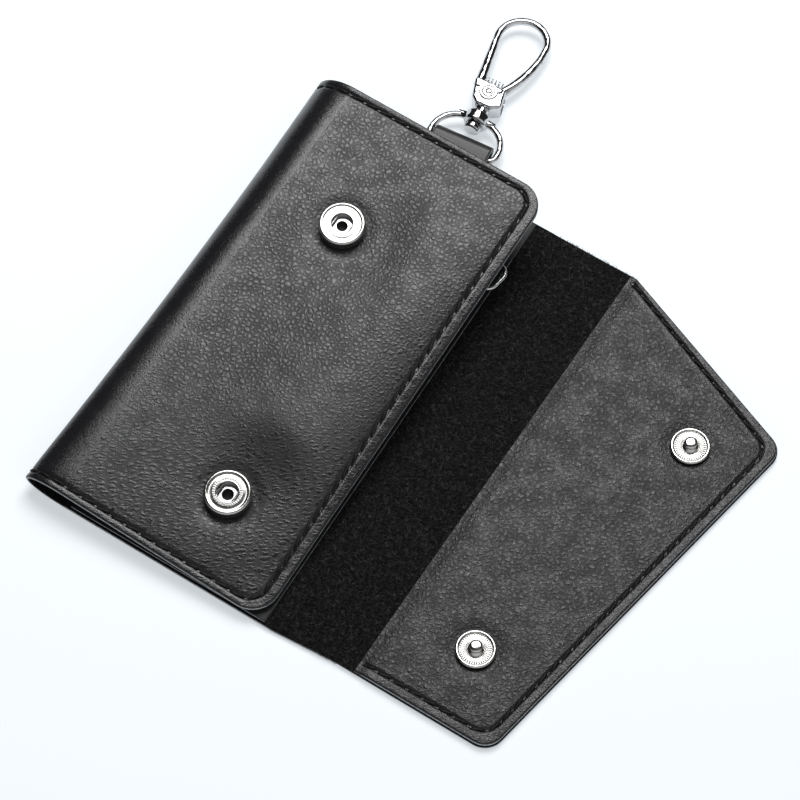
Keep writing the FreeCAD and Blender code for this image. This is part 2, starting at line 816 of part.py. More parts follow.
def biarc(start, start_way, end, end_way):
    """Two tangent arcs between two points with given directions."""
    chord = end - start
    ways = start_way + end_way
    square = 2 * (1 - start_way.dot(end_way))
    reach = (math.sqrt(chord.dot(ways) ** 2 + square * chord.dot(chord)) - chord.dot(ways)) / square
    first = start + start_way * reach
    second = end - end_way * reach
    joint = (first + second) / 2
    return [arc_between(start, first, joint), arc_between(joint, second, end)]


def spring_span():
    """Left end and length of the coil, between the fixed arm and the gate."""
    lean = (bow_radius - arm_root_side) / (bow_centre - arm_root)
    arm_share = (spring_along - arm_root) / (bow_centre - arm_root)
    arm_radius = arm_root_radius + (bow_wire_radius - arm_root_radius) * arm_share
    arm_face = arm_radius - arm_root_side - lean * (spring_along - arm_root)
    start, tip = gate_chord()
    share = (spring_along - start.y) / (tip.y - start.y)
    gate_radius = gate_arm_radius + (gate_end_radius - gate_arm_radius) * share
    outward = (tip.y - start.y) / (tip - start).Length
    bulge = 4 * share * (1 - share) * gate_bow_out * outward
    gate_face = start.x + (tip.x - start.x) * share + bulge - gate_radius
    left = arm_face + spring_end_gap
    return left, gate_face - spring_end_gap - left


def gate_spring():
    left, length = spring_span()
    tail = 2 * spring_wire_radius
    pitch = (length - 2 * spring_wire_radius) / spring_turns
    rise_way = pitch / (2 * math.pi)

    def at(turn):
        angle = 2 * math.pi * turn
        point = Vector(left + spring_wire_radius + pitch * turn,
                       spring_along + spring_coil_radius * math.cos(angle),
                       spring_coil_radius * math.sin(angle))
        way = Vector(rise_way, -spring_coil_radius * math.sin(angle), spring_coil_radius * math.cos(angle))
        return point, way.normalize()

    edges = []
    first_point, first_way = at(0)
    edges.append(Part.LineSegment(first_point - first_way * tail, first_point).toShape())
    for quarter in range(4 * spring_turns):
        start, start_way = at(quarter / 4)
        end, end_way = at((quarter + 1) / 4)
        edges += biarc(start, start_way, end, end_way)
    last_point, last_way = at(spring_turns)
    edges.append(Part.LineSegment(last_point, last_point + last_way * tail).toShape())
    print("gate spring: least gap to itself %.3f mm" % coil_gap(at))
    return placed(wire_along(Part.Wire(edges), spring_wire_radius), clasp_place())


def coil_gap(at):
    """Least clear distance between turns of the spring, measured on points along it."""
    steps = 48
    points = [at(index / steps)[0] for index in range(spring_turns * steps + 1)]
    least = large
    for index, point in enumerate(points):
        for other in points[index + steps // 2:]:
            least = min(least, (point - other).Length)
    return least - 2 * spring_wire_radius


# Key hooks

def hook_places():
    first = hook_plate_centre_x - hook_spacing * (hook_count - 1) / 2
    return [Vector(first + hook_spacing * index, hook_row_y, 0) for index in range(hook_count)]


def hook_thickness():
    return 2 * hook_wire_radius


def hook_floor(index):
    """Height of a hook's underside: neighbours run on different levels."""
    level = index % hook_level_count
    return plate_top + hook_running_gap + level * (hook_thickness() + hook_level_gap)


def plate_half_width():
    return hook_spacing * (hook_count - 1) / 2 + hook_plate_end_margin


def plate_rivet_places():
    reach = hook_spacing * (hook_count / 2 - 1)
    row = hook_row_y + hook_plate_height / 2 - plate_rivet_inset
    return [Vector(hook_plate_centre_x + side * reach, row, 0) for side in (-1, 1)]


def hook_plate():
    half = plate_half_width()
    low = hook_row_y - hook_plate_height / 2
    high = hook_row_y + hook_plate_height / 2
    left = hook_plate_centre_x - half
    right = hook_plate_centre_x + half
    corners = plan((left, low), (right, low), (right, high), (left, high))
    outline = rounded_outline(corners, [hook_plate_corner] * len(corners))
    shape = sheet(outline, back_stack, hook_plate_thickness)
    for place in hook_places():
        shape = shape.cut(rod(hook_pin_radius + fit_clearance, large, place))
    for place in plate_rivet_places():
        shape = shape.cut(rod(plate_rivet_radius + fit_clearance, large, place))
    return shape


def plate_rivets():
    rivet = headed_rivet(plate_rivet_radius, plate_rivet_head_radius, plate_rivet_head_radius,
                         shell_thickness - flange_thickness, plate_top)
    return Part.makeCompound([standing_at(rivet, place) for place in plate_rivet_places()])


def hook_pin(index):
    """Headed pin through the plate, with a collar under a hook that runs on an upper level."""
    floor = hook_floor(index)
    seat = floor - hook_running_gap
    head = floor + hook_thickness() + hook_running_gap
    crown = hook_pin_head_radius * rivet_crown_share
    profile = [(0, back_stack), (hook_pin_radius, back_stack), (hook_pin_radius, plate_top)]
    if index % hook_level_count:
        collar = hook_pin_head_radius
        profile += [(collar, plate_top), (collar, seat), (hook_pin_radius, seat)]
    profile += [(hook_pin_radius, head), (hook_pin_head_radius, head),
                (hook_pin_head_radius, head + rivet_head_height / 2),
                (crown, head + rivet_head_height), (0, head + rivet_head_height)]
    return turned_solid(profile)


def hook_pins():
    places = enumerate(hook_places())
    return Part.makeCompound([standing_at(hook_pin(index), place) for index, place in places])


def key_hook(index):
    """A closed wire loop on a flat eye that turns on its pin."""
    wire = hook_wire_radius
    bore_radius = hook_pin_radius + swivel_clearance
    eye_radius = bore_radius + hook_eye_wall
    loop_top = -(eye_radius - wire + hook_half_width)
    loop_end = wire - hook_length
    corners = plan((-hook_half_width, loop_top), (-hook_half_width, loop_end),
                   (hook_half_width, loop_end), (hook_half_width, loop_top))
    radii = (0, hook_corner_radius, hook_corner_radius, 0)
    lower = wire_along(rounded_outline(corners, radii, closed=False), wire)
    upper = Part.makeTorus(hook_half_width, wire, Vector(0, loop_top, 0), up, -180, 180, 180)
    eye = rod(eye_radius, 2 * wire, Vector(0, 0, -wire))
    bore = rod(bore_radius, 2 * large, Vector(0, 0, -large))
    shape = eye.fuse([lower, upper]).cut(bore).removeSplitter()
    turn = end_hook_swing if index == hook_count - 1 else 0
    place = hook_places()[index]
    spot = Vector(place.x, place.y, hook_floor(index) + wire)
    return placed(shape, Placement(spot, Rotation(up, turn)))


# The whole case

def build():
    shapes = {
        "front_cover": front_cover(),
        "cover_lining": cover_lining(),
        "spine": spine(),
        "back_panel": back_panel(),
        "back_lining": back_lining(),
        "fold_strip": fold_strip(),
        "flap": flap(),
        "flap_facing": flap_facing(),
        "cover_seam": cover_seam(),
        "flap_seam": flap_seam(),
        "loop_strap": loop_strap(),
        "strap_rivet": strap_rivet(),
        "swivel_ring": swivel_ring(),
        "swivel_post": swivel_post(),
        "clasp_body": clasp_body(),
        "clasp_gate": clasp_gate(),
        "gate_pin": gate_pin(),
        "gate_spring": gate_spring(),
        "hook_plate": hook_plate(),
        "plate_rivets": plate_rivets(),
        "hook_pins": hook_pins(),
    }
    for name, place in stud_places().items():
        at_stud = Placement(place, Rotation())
        at_socket = socket_placement(place)
        shapes[name + "_stud"] = placed(stud(), at_stud)
        shapes[name + "_stud_post"] = placed(stud_post(), at_stud)
        shapes[name + "_socket"] = placed(socket(), at_socket)
        shapes[name + "_socket_wires"] = placed(socket_wires(), at_socket)
        shapes[name + "_socket_post"] = placed(socket_post(), at_socket)
    for index in range(hook_count):
        shapes["key_hook_%d" % (index + 1)] = key_hook(index)
    return shapes


os.makedirs("parts", exist_ok=True)
for node, shape in build().items():
    shape.exportStep("parts/%s.step" % node)
    facts = (node, len(shape.Solids), shape.Volume, shape.isValid())
    print("%-20s solids %3d  volume %9.2f  valid %s" % facts)
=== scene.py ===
import math

import bpy
import numpy as np
from mathutils import Matrix, Quaternion, Vector


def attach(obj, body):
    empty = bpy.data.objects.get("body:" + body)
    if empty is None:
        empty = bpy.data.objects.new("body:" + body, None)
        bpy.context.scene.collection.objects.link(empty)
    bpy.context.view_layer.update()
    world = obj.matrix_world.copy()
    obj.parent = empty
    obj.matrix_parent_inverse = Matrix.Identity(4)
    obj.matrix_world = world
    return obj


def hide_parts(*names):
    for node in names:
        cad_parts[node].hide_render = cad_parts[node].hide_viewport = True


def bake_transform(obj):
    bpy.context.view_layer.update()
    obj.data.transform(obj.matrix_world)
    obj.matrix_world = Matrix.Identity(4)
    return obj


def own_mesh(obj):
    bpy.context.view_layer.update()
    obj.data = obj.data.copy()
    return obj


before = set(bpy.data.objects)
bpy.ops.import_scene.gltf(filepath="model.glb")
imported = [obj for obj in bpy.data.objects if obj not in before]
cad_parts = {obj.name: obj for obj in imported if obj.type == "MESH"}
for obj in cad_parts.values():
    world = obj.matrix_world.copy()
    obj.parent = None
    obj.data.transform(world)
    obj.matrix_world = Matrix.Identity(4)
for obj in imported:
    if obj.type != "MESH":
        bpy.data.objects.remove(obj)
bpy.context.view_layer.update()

# Looks of the leather key case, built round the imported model.
# Lengths are in millimetres until a mesh is made. X runs from the spine to the flap, Y to the clasp end.

mm = 0.001
tiny = 1e-6

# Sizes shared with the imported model
half_length = 55.0
half_width = 29.0
spine_line = -19.572
shell = 1.1
lining = 0.6
facing = 0.8
corner_radius = 6.0
cover_height = 10.2847
cover_slope_x = -0.056034
cover_slope_y = 0.090909
cover_stretch = math.sqrt(1 + cover_slope_x ** 2 + cover_slope_y ** 2)
cover_normal = Vector((-cover_slope_x, -cover_slope_y, 1)) / cover_stretch
back_stack = shell + lining
back_edge = 31.0
flap_start = 46.4
flap_bottom = -53.9
flap_lower = (82.3, flap_bottom)
flap_upper = (98.3, 36.1)
flap_slant = (51.7, half_length)
flap_corner_radius = 4.5
facing_left = 50.4
facing_inset = 0.25
lining_left = -18.07
lining_end = 54.5
lining_top_right = 26.8
lining_bottom_right = 29.4
cover_lining_right = 28.4
seam_end_margin = 1.8
seam_side_margin = 2.6
stitch_pitch = 3.6
stud_places = {"upper": (81.6, 26.1), "lower": (68.5, -36.8)}
socket_places = {"upper": (-3.98, 25.742, 12.848), "lower": (8.941, -36.867, 6.432)}
stud_radius = 4.2
stud_height = 2.3
socket_radius = 5.05
socket_height = 2.2
socket_hole = 2.25
socket_cavity = 3.2
socket_bore = 1.8
rivet_place = (1.6059, 75.5939, 2.9)
clasp_half_thickness = 2.4
strap_lean = 5.8
strap_bar = (3.4, 60.9, 2.9)
strap_thickness = 1.2
strap_inner = 0.95
strap_slack = 1.2
strap_tail_end = 15.4
strap_flat_end = 5.15

# The strap is drawn a little narrower than the model's, so that the ring swings clear of its sides
strap_width = 13.5
strap_roll = 0.3
strap_pattern_length = 40.0

# The gate's spring, placed from the rivet
spring_start = -1.93
spring_run = 3.33
spring_along = 3.9
spring_coil_radius = 0.75
spring_wire_radius = 0.16
spring_turns = 4

# Relief of the snaps, as counts round the ring
stud_ribs = 40
socket_knurls = 30
socket_dots = 36

# Softness of the leather that the flat model leaves out
cover_crown = 1.75
crown_left = -11.0
crown_right = 15.0
crown_corner = 20.0
crown_corner_run = 32.0
crown_corner_way = (0.6, -0.8)
crown_top = 10.0
crown_bottom = 22.0
socket_flat_run = 15.0
cover_twist = 5.2e-4
cover_tilt = 0.008
cover_rest_gap = 0.06
spine_waist = 1.0
edge_roll = 0.35
skived_edge = 0.3
skive_width = 3.5
groove_depth = 0.36
groove_width = 0.38
pucker_depth = 0.12
pucker_width = 1.6
pucker_even = 0.7
dent_depth = 0.35
dent_width = 1.7
facing_groove_share = 0.9
facing_least = 0.1

# Grain of the leather: where it is creased, and how flat it lies by the seams and round the spine
wrinkle_heading = 33.0
crease_start = -8.0
crease_slope = 0.5
crease_run = 30.0
facing_crease = 0.35
strip_grain = 0.8
seam_grain_share = 0.55
seam_grain_run = 1.2
seam_grain_loss = 0.6
seam_grain_width = 0.8
spine_grain_share = 0.25
spine_grain_lead = 4.0
spine_grain_run = 9.0
band_grain = 0.12
band_grain_run = 8.0

# Thread
thread_radius = 0.26
stitch_half = 1.62
stitch_sink = 0.5
stitch_slant = 0.3
stitch_depth = 0.16
slant_seam_shift = 1.0
slant_seam_way = (0.37, 0.93)
flap_seam_start = 0.3
spine_seam_start = 2.2
spine_stitches = 4
thread_floor_gap = 0.08

# Suede fibres
fibre_density = 3.2
fibre_length = (0.35, 1.2)
fibre_width = 0.075
fibre_rise = 0.22
fibre_least_rise = 0.3
fibre_arch = 2.4
fibre_taper = 0.7
fibre_tilt = 0.02
fibre_curl = 0.7
fibre_inset = 0.3
edge_fibre_spacing = 0.22
edge_fibre_length = (0.2, 0.7)
edge_fibre_spread = 0.7
edge_fibre_gap = 0.2
lower_fibre_start = 4.0

# Colours used more than once
leather_colour = (0.013, 0.013, 0.0145)
chrome_colour = (0.56, 0.565, 0.575)

# Camera and light. The lamp's places and sizes are in metres.
photo_size = 800
camera_focal = 3405.04
camera_distance = 710.956
camera_elevation = 62.182
camera_azimuth = 31.179
camera_roll = 1.547
camera_target = (24.778, 3.577, 0.0)
sensor_width = 36.0
floor_half = 6000.0
floor_colour = (0.92, 0.965, 1.0)
floor_diffuse_share = 0.75
floor_glow = 0.485
lamp_place = (-0.101, 0.2845, 0.535)
lamp_aim = (0.019, -0.133, 0.0)
lamp_size = (0.42, 0.32)
lamp_roll = 30.0
lamp_power = 2.95
sky_front = (0.7, -0.7, 0.15)
sky_range = (0.1, 0.95)
sky_dark = 0.025
sky_pale = 0.75

random = np.random.default_rng(20)


# Lines on the flat pattern

def rounded(corners, radii, step=0.35):
    """Points along a run of straight lines with rounded corners, its two ends left as they are."""
    points = [np.array(corners[0], float)]
    for before, corner, after, radius in zip(corners, corners[1:], corners[2:], radii):
        corner = np.array(corner, float)
        back = np.array(before) - corner
        on = np.array(after) - corner
        back /= np.linalg.norm(back)
        on /= np.linalg.norm(on)
        half = math.acos(np.clip(back @ on, -1, 1)) / 2
        if radius == 0:
            points.append(corner)
            continue
        middle = (back + on) / np.linalg.norm(back + on)
        centre = corner + middle * radius / math.sin(half)
        first = corner + back * radius / math.tan(half) - centre
        sweep = math.pi - 2 * half
        turn = 1 if first[0] * middle[1] - first[1] * middle[0] < 0 else -1
        count = max(4, round(radius * sweep / step))
        for index in range(count + 1):
            angle = turn * sweep * index / count
            c, s = math.cos(angle), math.sin(angle)
            points.append(centre + np.array((c * first[0] - s * first[1], s * first[0] + c * first[1])))
    points.append(np.array(corners[-1], float))
    return np.array(points)


def inset(corners, amount):
    """A run of corners moved to its left side by amount."""
    corners = [np.array(c, float) for c in corners]
    ways = [(b - a) / np.linalg.norm(b - a) for a, b in zip(corners, corners[1:])]
    normals = [np.array((-w[1], w[0])) for w in ways]
    moved = [corners[0] + normals[0] * amount]
    for corner, first, second in zip(corners[1:], normals, normals[1:]):
        moved.append(corner + (first + second) * amount / (1 + first @ second))
    moved.append(corners[-1] + normals[-1] * amount)
    return moved


def nearest(x, y, path):
    """Distance of each point from a path, and how far along the path its nearest point lies."""
    points = np.stack([x.ravel(), y.ravel()], 1)
    starts = path[:-1]
    runs = path[1:] - starts
    lengths = np.linalg.norm(runs, axis=1)
    before = np.concatenate([[0], np.cumsum(lengths)[:-1]])
    best = np.full(len(points), np.inf)
    along = np.zeros(len(points))
    for start, run, length, offset in zip(starts, runs, lengths, before):
        if length < tiny:
            continue
        share = np.clip((points - start) @ run / length ** 2, 0, 1)
        gap = np.linalg.norm(points - start - share[:, None] * run, axis=1)
        closer = gap < best
        best[closer] = gap[closer]
        along[closer] = offset + share[closer] * length
    return best.reshape(x.shape), along.reshape(x.shape)


def resampled(path, pitch):
    """Even points along a path and the direction of travel at each."""
    lengths = np.concatenate([[0], np.cumsum(np.linalg.norm(np.diff(path, axis=0), axis=1))])
    count = max(1, round(lengths[-1] / pitch))
    at = (np.arange(count) + 0.5) * lengths[-1] / count

    def place(distance):
        return np.stack([np.interp(distance, lengths, path[:, axis]) for axis in (0, 1)], -1)

    ways = place(at + 0.2) - place(at - 0.2)
    return place(at), ways / np.linalg.norm(ways, axis=1)[:, None]


def right_side(path):
    """The run of a bottom, right and top outline that bounds its rows, as heights and reaches."""
    y = path[:, 1]
    rising = y[1:] > y[:-1] + tiny
    kept = np.concatenate([[False], rising]) | np.concatenate([rising, [False]])
    return y[kept], path[kept, 0]


def positions(start, end, free_ends=(), soft_spots=(), coarse=0.7):
    """Places from start to end, closer together near free ends and near the spots that need it."""
    line = np.linspace(start, end, 4000)
    step = np.full_like(line, coarse)
    for spot in free_ends:
        step = np.minimum(step, np.interp(np.abs(line - spot), (0, 0.5, 5, 9), (0.06, 0.3, 0.3, coarse)))
    for spot in soft_spots:
        step = np.minimum(step, np.interp(np.abs(line - spot), (0, 5, 9), (0.3, 0.3, coarse)))
    count = np.concatenate([[0], np.cumsum(2 * np.diff(line) / (step[1:] + step[:-1]))])
    return np.interp(np.linspace(0, count[-1], round(count[-1]) + 1), count, line)


def box_corners(left, right, end):
    """Corners of a sheet from its lower left, round its right side, to its upper left."""
    return [(left, -end), (right, -end), (right, end), (left, end)]


def sheet_grid(outline, left, rows, columns):
    """Flat places of a sheet whose rows run from its left edge to its outline."""
    reach = np.interp(rows, *right_side(outline))
    x = left + (reach - left)[:, None] * columns[None, :]
    return x, np.repeat(rows[:, None], len(columns), 1)


# Meshes

def mesh_piece(name, points, faces, materials, flat=None, kinds=None, values=None):
    """A smooth mesh object from points in millimetres, with flat pattern places kept as its UV map."""
    used, new = np.unique(np.concatenate([np.ravel(f) for f in faces]), return_inverse=True)
    sizes = np.concatenate([np.full(len(f), f.shape[1]) for f in faces])
    mesh = bpy.data.meshes.new(name)
    mesh.vertices.add(len(used))
    mesh.vertices.foreach_set("co", (points[used] * mm).astype(np.float32).ravel())
    mesh.loops.add(len(new))
    mesh.loops.foreach_set("vertex_index", new.astype(np.int32))
    mesh.polygons.add(len(sizes))
    starts = np.concatenate([[0], np.cumsum(sizes)[:-1]])
    mesh.polygons.foreach_set("loop_start", starts.astype(np.int32))
    mesh.polygons.foreach_set("use_smooth", np.ones(len(sizes), bool))
    if kinds is not None:
        mesh.polygons.foreach_set("material_index", np.concatenate(kinds).astype(np.int32))
    if flat is not None:
        layer = mesh.uv_layers.new(name="pattern")
        layer.data.foreach_set("uv", flat[used][new].astype(np.float32).ravel())
    for key, numbers in (values or {}).items():
        attribute = mesh.attributes.new(key, "FLOAT", "POINT")
        attribute.data.foreach_set("value", numbers[used].astype(np.float32))
    mesh.update(calc_edges=True)
    mesh.validate()
    for material in materials:
        mesh.materials.append(material)
    piece = bpy.data.objects.new(name, mesh)
    bpy.context.scene.collection.objects.link(piece)
    return piece


def sheet_piece(name, top, bottom, materials, values=None, holes=None, joined=(), flat=None):
    """A sheet from two matching grids of points. Materials: upper face, lower face, upper and lower strip
    of the edge. Its flat pattern is its plan, if no other is given."""
    flat = top[..., :2] if flat is None else flat
    rows, columns = top.shape[:2]
    count = rows * columns
    upper = np.arange(count).reshape(rows, columns)
    middle = upper + count
    lower = middle + count
    # The edge is parted into two strips at this share of the thickness, so that one strip can take painted
    # highlight and the other painted shade
    light_and_shade_split = 0.55
    points = np.concatenate([
        top.reshape(-1, 3), (top + (bottom - top) * light_and_shade_split).reshape(-1, 3), bottom.reshape(-1, 3)])
    keep = np.ones((rows - 1, columns - 1), bool) if holes is None else ~holes
    padded = np.pad(keep, 1)
    faces = []
    kinds = []

    def quads(corners, mask, kind):
        if mask.any():
            faces.append(np.stack([c[mask] for c in corners], 1))
            kinds.append(np.full(mask.sum(), kind))

    def wall(first, second, mask):
        """Two strips of edge between the faces, seen from outside with first to the left."""
        quads([middle[first], middle[second], upper[second], upper[first]], mask, 2)
        quads([lower[first], lower[second], middle[second], middle[first]], mask, 3)

    quads([upper[:-1, :-1], upper[:-1, 1:], upper[1:, 1:], upper[1:, :-1]], keep, 0)
    quads([lower[:-1, :-1], lower[1:, :-1], lower[1:, 1:], lower[:-1, 1:]], keep, 1)
    across = (slice(None), slice(None, -1))
    across_next = (slice(None), slice(1, None))
    down = (slice(None, -1), slice(None))
    down_next = (slice(1, None), slice(None))
    front = padded[1:, 1:-1] & ~padded[:-1, 1:-1]
    behind = padded[:-1, 1:-1] & ~padded[1:, 1:-1]
    left = padded[1:-1, 1:] & ~padded[1:-1, :-1]
    right = padded[1:-1, :-1] & ~padded[1:-1, 1:]
    if "left" in joined:
        left[:, 0] = False
    if "right" in joined:
        right[:, -1] = False
    wall(across, across_next, front)
    wall(across_next, across, behind)
    wall(down_next, down, left)
    wall(down, down_next, right)
    spread = {key: np.tile(np.ravel(numbers), 3) for key, numbers in (values or {}).items()}
    return mesh_piece(name, points, faces, materials, np.tile(flat.reshape(-1, 2), (3, 1)), kinds, spread)


def tubes(name, paths, radius, material, sides=8, upright=(0.13, 0.21, 0.97)):
    """Round threads along paths of equal point count that never run upright, closed at both ends."""
    paths = np.array(paths)
    way = np.gradient(paths, axis=1)
    way /= np.linalg.norm(way, axis=2)[..., None]
    side = np.cross(way, np.array(upright))
    side /= np.linalg.norm(side, axis=2)[..., None]
    rise = np.cross(side, way)
    angle = np.arange(sides) * 2 * math.pi / sides
    ring = (side[:, :, None] * np.cos(angle)[:, None] + rise[:, :, None] * np.sin(angle)[:, None])
    size = np.broadcast_to(np.asarray(radius, float).reshape(1, -1, 1, 1), ring.shape[:2] + (1, 1))
    points = paths[:, :, None] + ring * size
    number = np.arange(points.shape[0] * points.shape[1] * sides).reshape(points.shape[:3])
    turn = np.roll(number, -1, 2)
    body = np.stack([number[:, :-1], turn[:, :-1], turn[:, 1:], number[:, 1:]], -1).reshape(-1, 4)
    caps = np.concatenate([number[:, 0, ::-1], number[:, -1]])
    return mesh_piece(name, points.reshape(-1, 3), [body, caps], [material])


def lathe(name, profile, height_at, materials, steps, inside=None):
    """A turned piece: profile of (radius, height) points, a relief that may follow the angle, and the
    first point of the profile that takes the second material."""
    radius = np.array([p[0] for p in profile])[:, None]
    level = np.array([p[1] for p in profile])[:, None]
    angle = np.arange(steps)[None, :] * 2 * math.pi / steps
    out, lift = height_at(radius, level, angle)
    wide = radius + out
    points = np.stack([wide * np.cos(angle), wide * np.sin(angle), level + lift + 0 * angle], -1)
    number = np.arange(len(profile) * steps).reshape(len(profile), steps)
    turn = np.roll(number, -1, 1)
    faces = np.stack([number[:-1], turn[:-1], turn[1:], number[1:]], -1).reshape(-1, 4)
    kinds = np.repeat(np.arange(len(profile) - 1) >= (inside or len(profile)), steps)
    return mesh_piece(name, points.reshape(-1, 3), [faces], materials, kinds=[kinds])


# Materials

def add(tree, kind, inputs, **settings):
    """A shader node with its inputs set to values or linked to other nodes' outputs."""
    made = tree.nodes.new(kind)
    for key, value in settings.items():
        setattr(made, key, value)
    for key, value in inputs.items():
        if isinstance(value, bpy.types.NodeSocket):
            tree.links.new(value, made.inputs[key])
        else:
            made.inputs[key].default_value = value
    return made


def grey(level):
    return (level, level, level, 1)


def math_node(tree, operation, first, second):
    return add(tree, "ShaderNodeMath", {0: first, 1: second}, operation=operation).outputs[0]


def ranged(tree, value, low, high, to_low=0.0, to_high=1.0):
    inputs = {"Value": value, "From Min": low, "From Max": high, "To Min": to_low, "To Max": to_high}
    return add(tree, "ShaderNodeMapRange", inputs, interpolation_type="SMOOTHSTEP").outputs[0]


def mixed(tree, share, first, second):
    inputs = {0: share, 6: first, 7: second}
    return add(tree, "ShaderNodeMix", inputs, data_type="RGBA").outputs[2]


def attribute(tree, name):
    return add(tree, "ShaderNodeAttribute", {}, attribute_name=name).outputs["Fac"]


def start_material(name):
    made = bpy.data.materials.new(name)
    made.use_nodes = True
    made.node_tree.nodes.clear()
    return made, made.node_tree


def finish_material(tree, surface):
    end = tree.nodes.new("ShaderNodeOutputMaterial")
    tree.links.new(surface, end.inputs["Surface"])


def pattern_places(tree):
    return add(tree, "ShaderNodeUVMap", {}, uv_map="pattern").outputs[0]


def object_places(tree):
    return add(tree, "ShaderNodeTexCoord", {}).outputs["Object"]


def noise(tree, places, scale, detail=2.0, roughness=0.5):
    inputs = {"Vector": places, "Scale": scale, "Detail": detail, "Roughness": roughness}
    return add(tree, "ShaderNodeTexNoise", inputs).outputs[0]


def bump(tree, height, strength, distance, **more):
    inputs = {"Height": height, "Strength": strength, "Distance": distance * mm, **more}
    return add(tree, "ShaderNodeBump", inputs).outputs[0]


def principled(tree, inputs):
    """Ends a material with the usual surface."""
    finish_material(tree, add(tree, "ShaderNodeBsdfPrincipled", inputs).outputs[0])


def vector_math(tree, operation, inputs):
    return add(tree, "ShaderNodeVectorMath", inputs, operation=operation).outputs


def shaken(tree, places, scale, amount):
    """Places shifted a little by noise, so that cells lose their straight sides."""
    clouds = add(tree, "ShaderNodeTexNoise", {"Vector": places, "Scale": scale, "Detail": 2.0})
    centred = vector_math(tree, "SUBTRACT", {0: clouds.outputs["Color"], 1: (0.5, 0.5, 0.5)})[0]
    scaled = vector_math(tree, "SCALE", {0: centred, "Scale": amount})[0]
    return vector_math(tree, "ADD", {0: places, 1: scaled})[0]


def pillows(tree, places, scale):
    """Rounded pebbles: 1 on top, falling to 0 in the valleys between them."""
    voronoi = add(tree, "ShaderNodeTexVoronoi", {"Vector": places, "Scale": scale},
                  voronoi_dimensions="2D", feature="DISTANCE_TO_EDGE")
    return ranged(tree, voronoi.outputs["Distance"], 0.0, 0.44)


def shaded(colour, share):
    return tuple(share * c for c in colour) + (1,)


def pebbled_leather(name, colour, pebble_size, roughness, shine, relief_depth):
    """Grained leather: pebbles parted by soft dull valleys, with small pebbles and wrinkles over them. Its
    base colour carries painted shade in the valleys and painted highlight on the pebble tops.
    """
    material, tree = start_material(name)
    places = pattern_places(tree)
    loose = shaken(tree, places, 0.9, 1.2)
    heading = (0, 0, math.radians(wrinkle_heading))
    inputs = {"Vector": loose, "Rotation": heading, "Scale": (2.2, 0.8, 1)}
    turned = add(tree, "ShaderNodeMapping", inputs, vector_type="TEXTURE").outputs[0]
    round_pebbles = pillows(tree, loose, 1 / pebble_size)
    long_pebbles = pillows(tree, turned, 1 / pebble_size)
    inputs = {0: attribute(tree, "crease"), 2: round_pebbles, 3: long_pebbles}
    pebbles = add(tree, "ShaderNodeMix", inputs).outputs[0]
    patches = noise(tree, places, 0.2, 3.0)
    depth = math_node(tree, "MULTIPLY", ranged(tree, patches, 0.3, 0.7, 1.15, 0.8), attribute(tree, "grain"))
    valleys = math_node(tree, "MULTIPLY", math_node(tree, "SUBTRACT", 1.0, pebbles), depth)
    small = math_node(tree, "MULTIPLY", pillows(tree, shaken(tree, places, 2.5, 0.5), 2.1 / pebble_size), 0.4)
    wrinkles = noise(tree, turned, 1.6, 3.0, 0.6)
    height = math_node(tree, "ADD", small, math_node(tree, "SUBTRACT", wrinkles, valleys))
    relief = bump(tree, height, 1.0, relief_depth)
    # painted shade and highlight: the base colour drops to 0.4 of the leather's colour in the valleys and
    # rises to 1.2 on the pebble tops, as light falls on the grain
    tone = mixed(tree, ranged(tree, height, -0.5, 0.9), shaded(colour, 0.4), shaded(colour, 1.2))
    dull = math_node(tree, "ADD", ranged(tree, height, -0.5, 0.9, roughness + 0.28, roughness - 0.06),
                     ranged(tree, patches, 0.3, 0.7, 0.04, -0.03))
    principled(tree, {
        "Base Color": tone, "Roughness": dull, "Normal": relief, "Specular IOR Level": shine})
    return material


def smooth_leather(name, colour, roughness):
    """Flat finished leather of the linings and the strap."""
    material, tree = start_material(name)
    places = object_places(tree)
    relief = bump(tree, noise(tree, places, 2600.0, 3.0), 0.5, 0.05)
    tone = mixed(tree, noise(tree, places, 240.0), shaded(colour, 0.7), shaded(colour, 1.25))
    principled(tree, {"Base Color": tone, "Roughness": roughness, "Normal": relief})
    return material


def suede_leather(name):
    """The napped side of the leather, with darker and lighter tufts."""
    material, tree = start_material(name)
    loose = shaken(tree, pattern_places(tree), 0.8, 1.6)
    nap = noise(tree, loose, 1.7, 6.0, 0.7)
    tufts = noise(tree, loose, 0.55, 3.0)
    relief = bump(tree, math_node(tree, "ADD", nap, tufts), 1.0, 0.5)
    tone = mixed(tree, ranged(tree, nap, 0.42, 0.72), grey(0.002), grey(0.028))
    principled(tree, {
        "Base Color": tone, "Roughness": 0.95, "Normal": relief, "Specular IOR Level": 0.08,
        "Sheen Weight": 0.06, "Sheen Roughness": 0.5})
    return material


def fibre_material():
    material, tree = start_material("suede_fibre")
    clouds = noise(tree, object_places(tree), 900.0)
    tone = mixed(tree, ranged(tree, clouds, 0.35, 0.7), grey(0.006), grey(0.085))
    principled(tree, {"Base Color": tone, "Roughness": 0.8, "Specular IOR Level": 0.3})
    return material


def cut_edge(name, colour):
    """Raw cut side of the leather, mottled and a little rough."""
    material, tree = start_material(name)
    rough = noise(tree, object_places(tree), 1500.0, 4.0)
    tone = mixed(tree, ranged(tree, rough, 0.3, 0.7), shaded(colour, 0.6), shaded(colour, 1.0))
    principled(tree, {"Base Color": tone, "Roughness": 0.75, "Normal": bump(tree, rough, 0.7, 0.1)})
    return material


def thread_material():
    material, tree = start_material("thread")
    inputs = {"Vector": object_places(tree), "Scale": 260.0, "Distortion": 1.0}
    ply = add(tree, "ShaderNodeTexWave", inputs, bands_direction="DIAGONAL").outputs[1]
    relief = bump(tree, ply, 0.8, 0.08)
    tone = mixed(tree, ply, grey(0.002), grey(0.008))
    principled(tree, {"Base Color": tone, "Roughness": 0.5, "Normal": relief, "Specular IOR Level": 0.3})
    return material


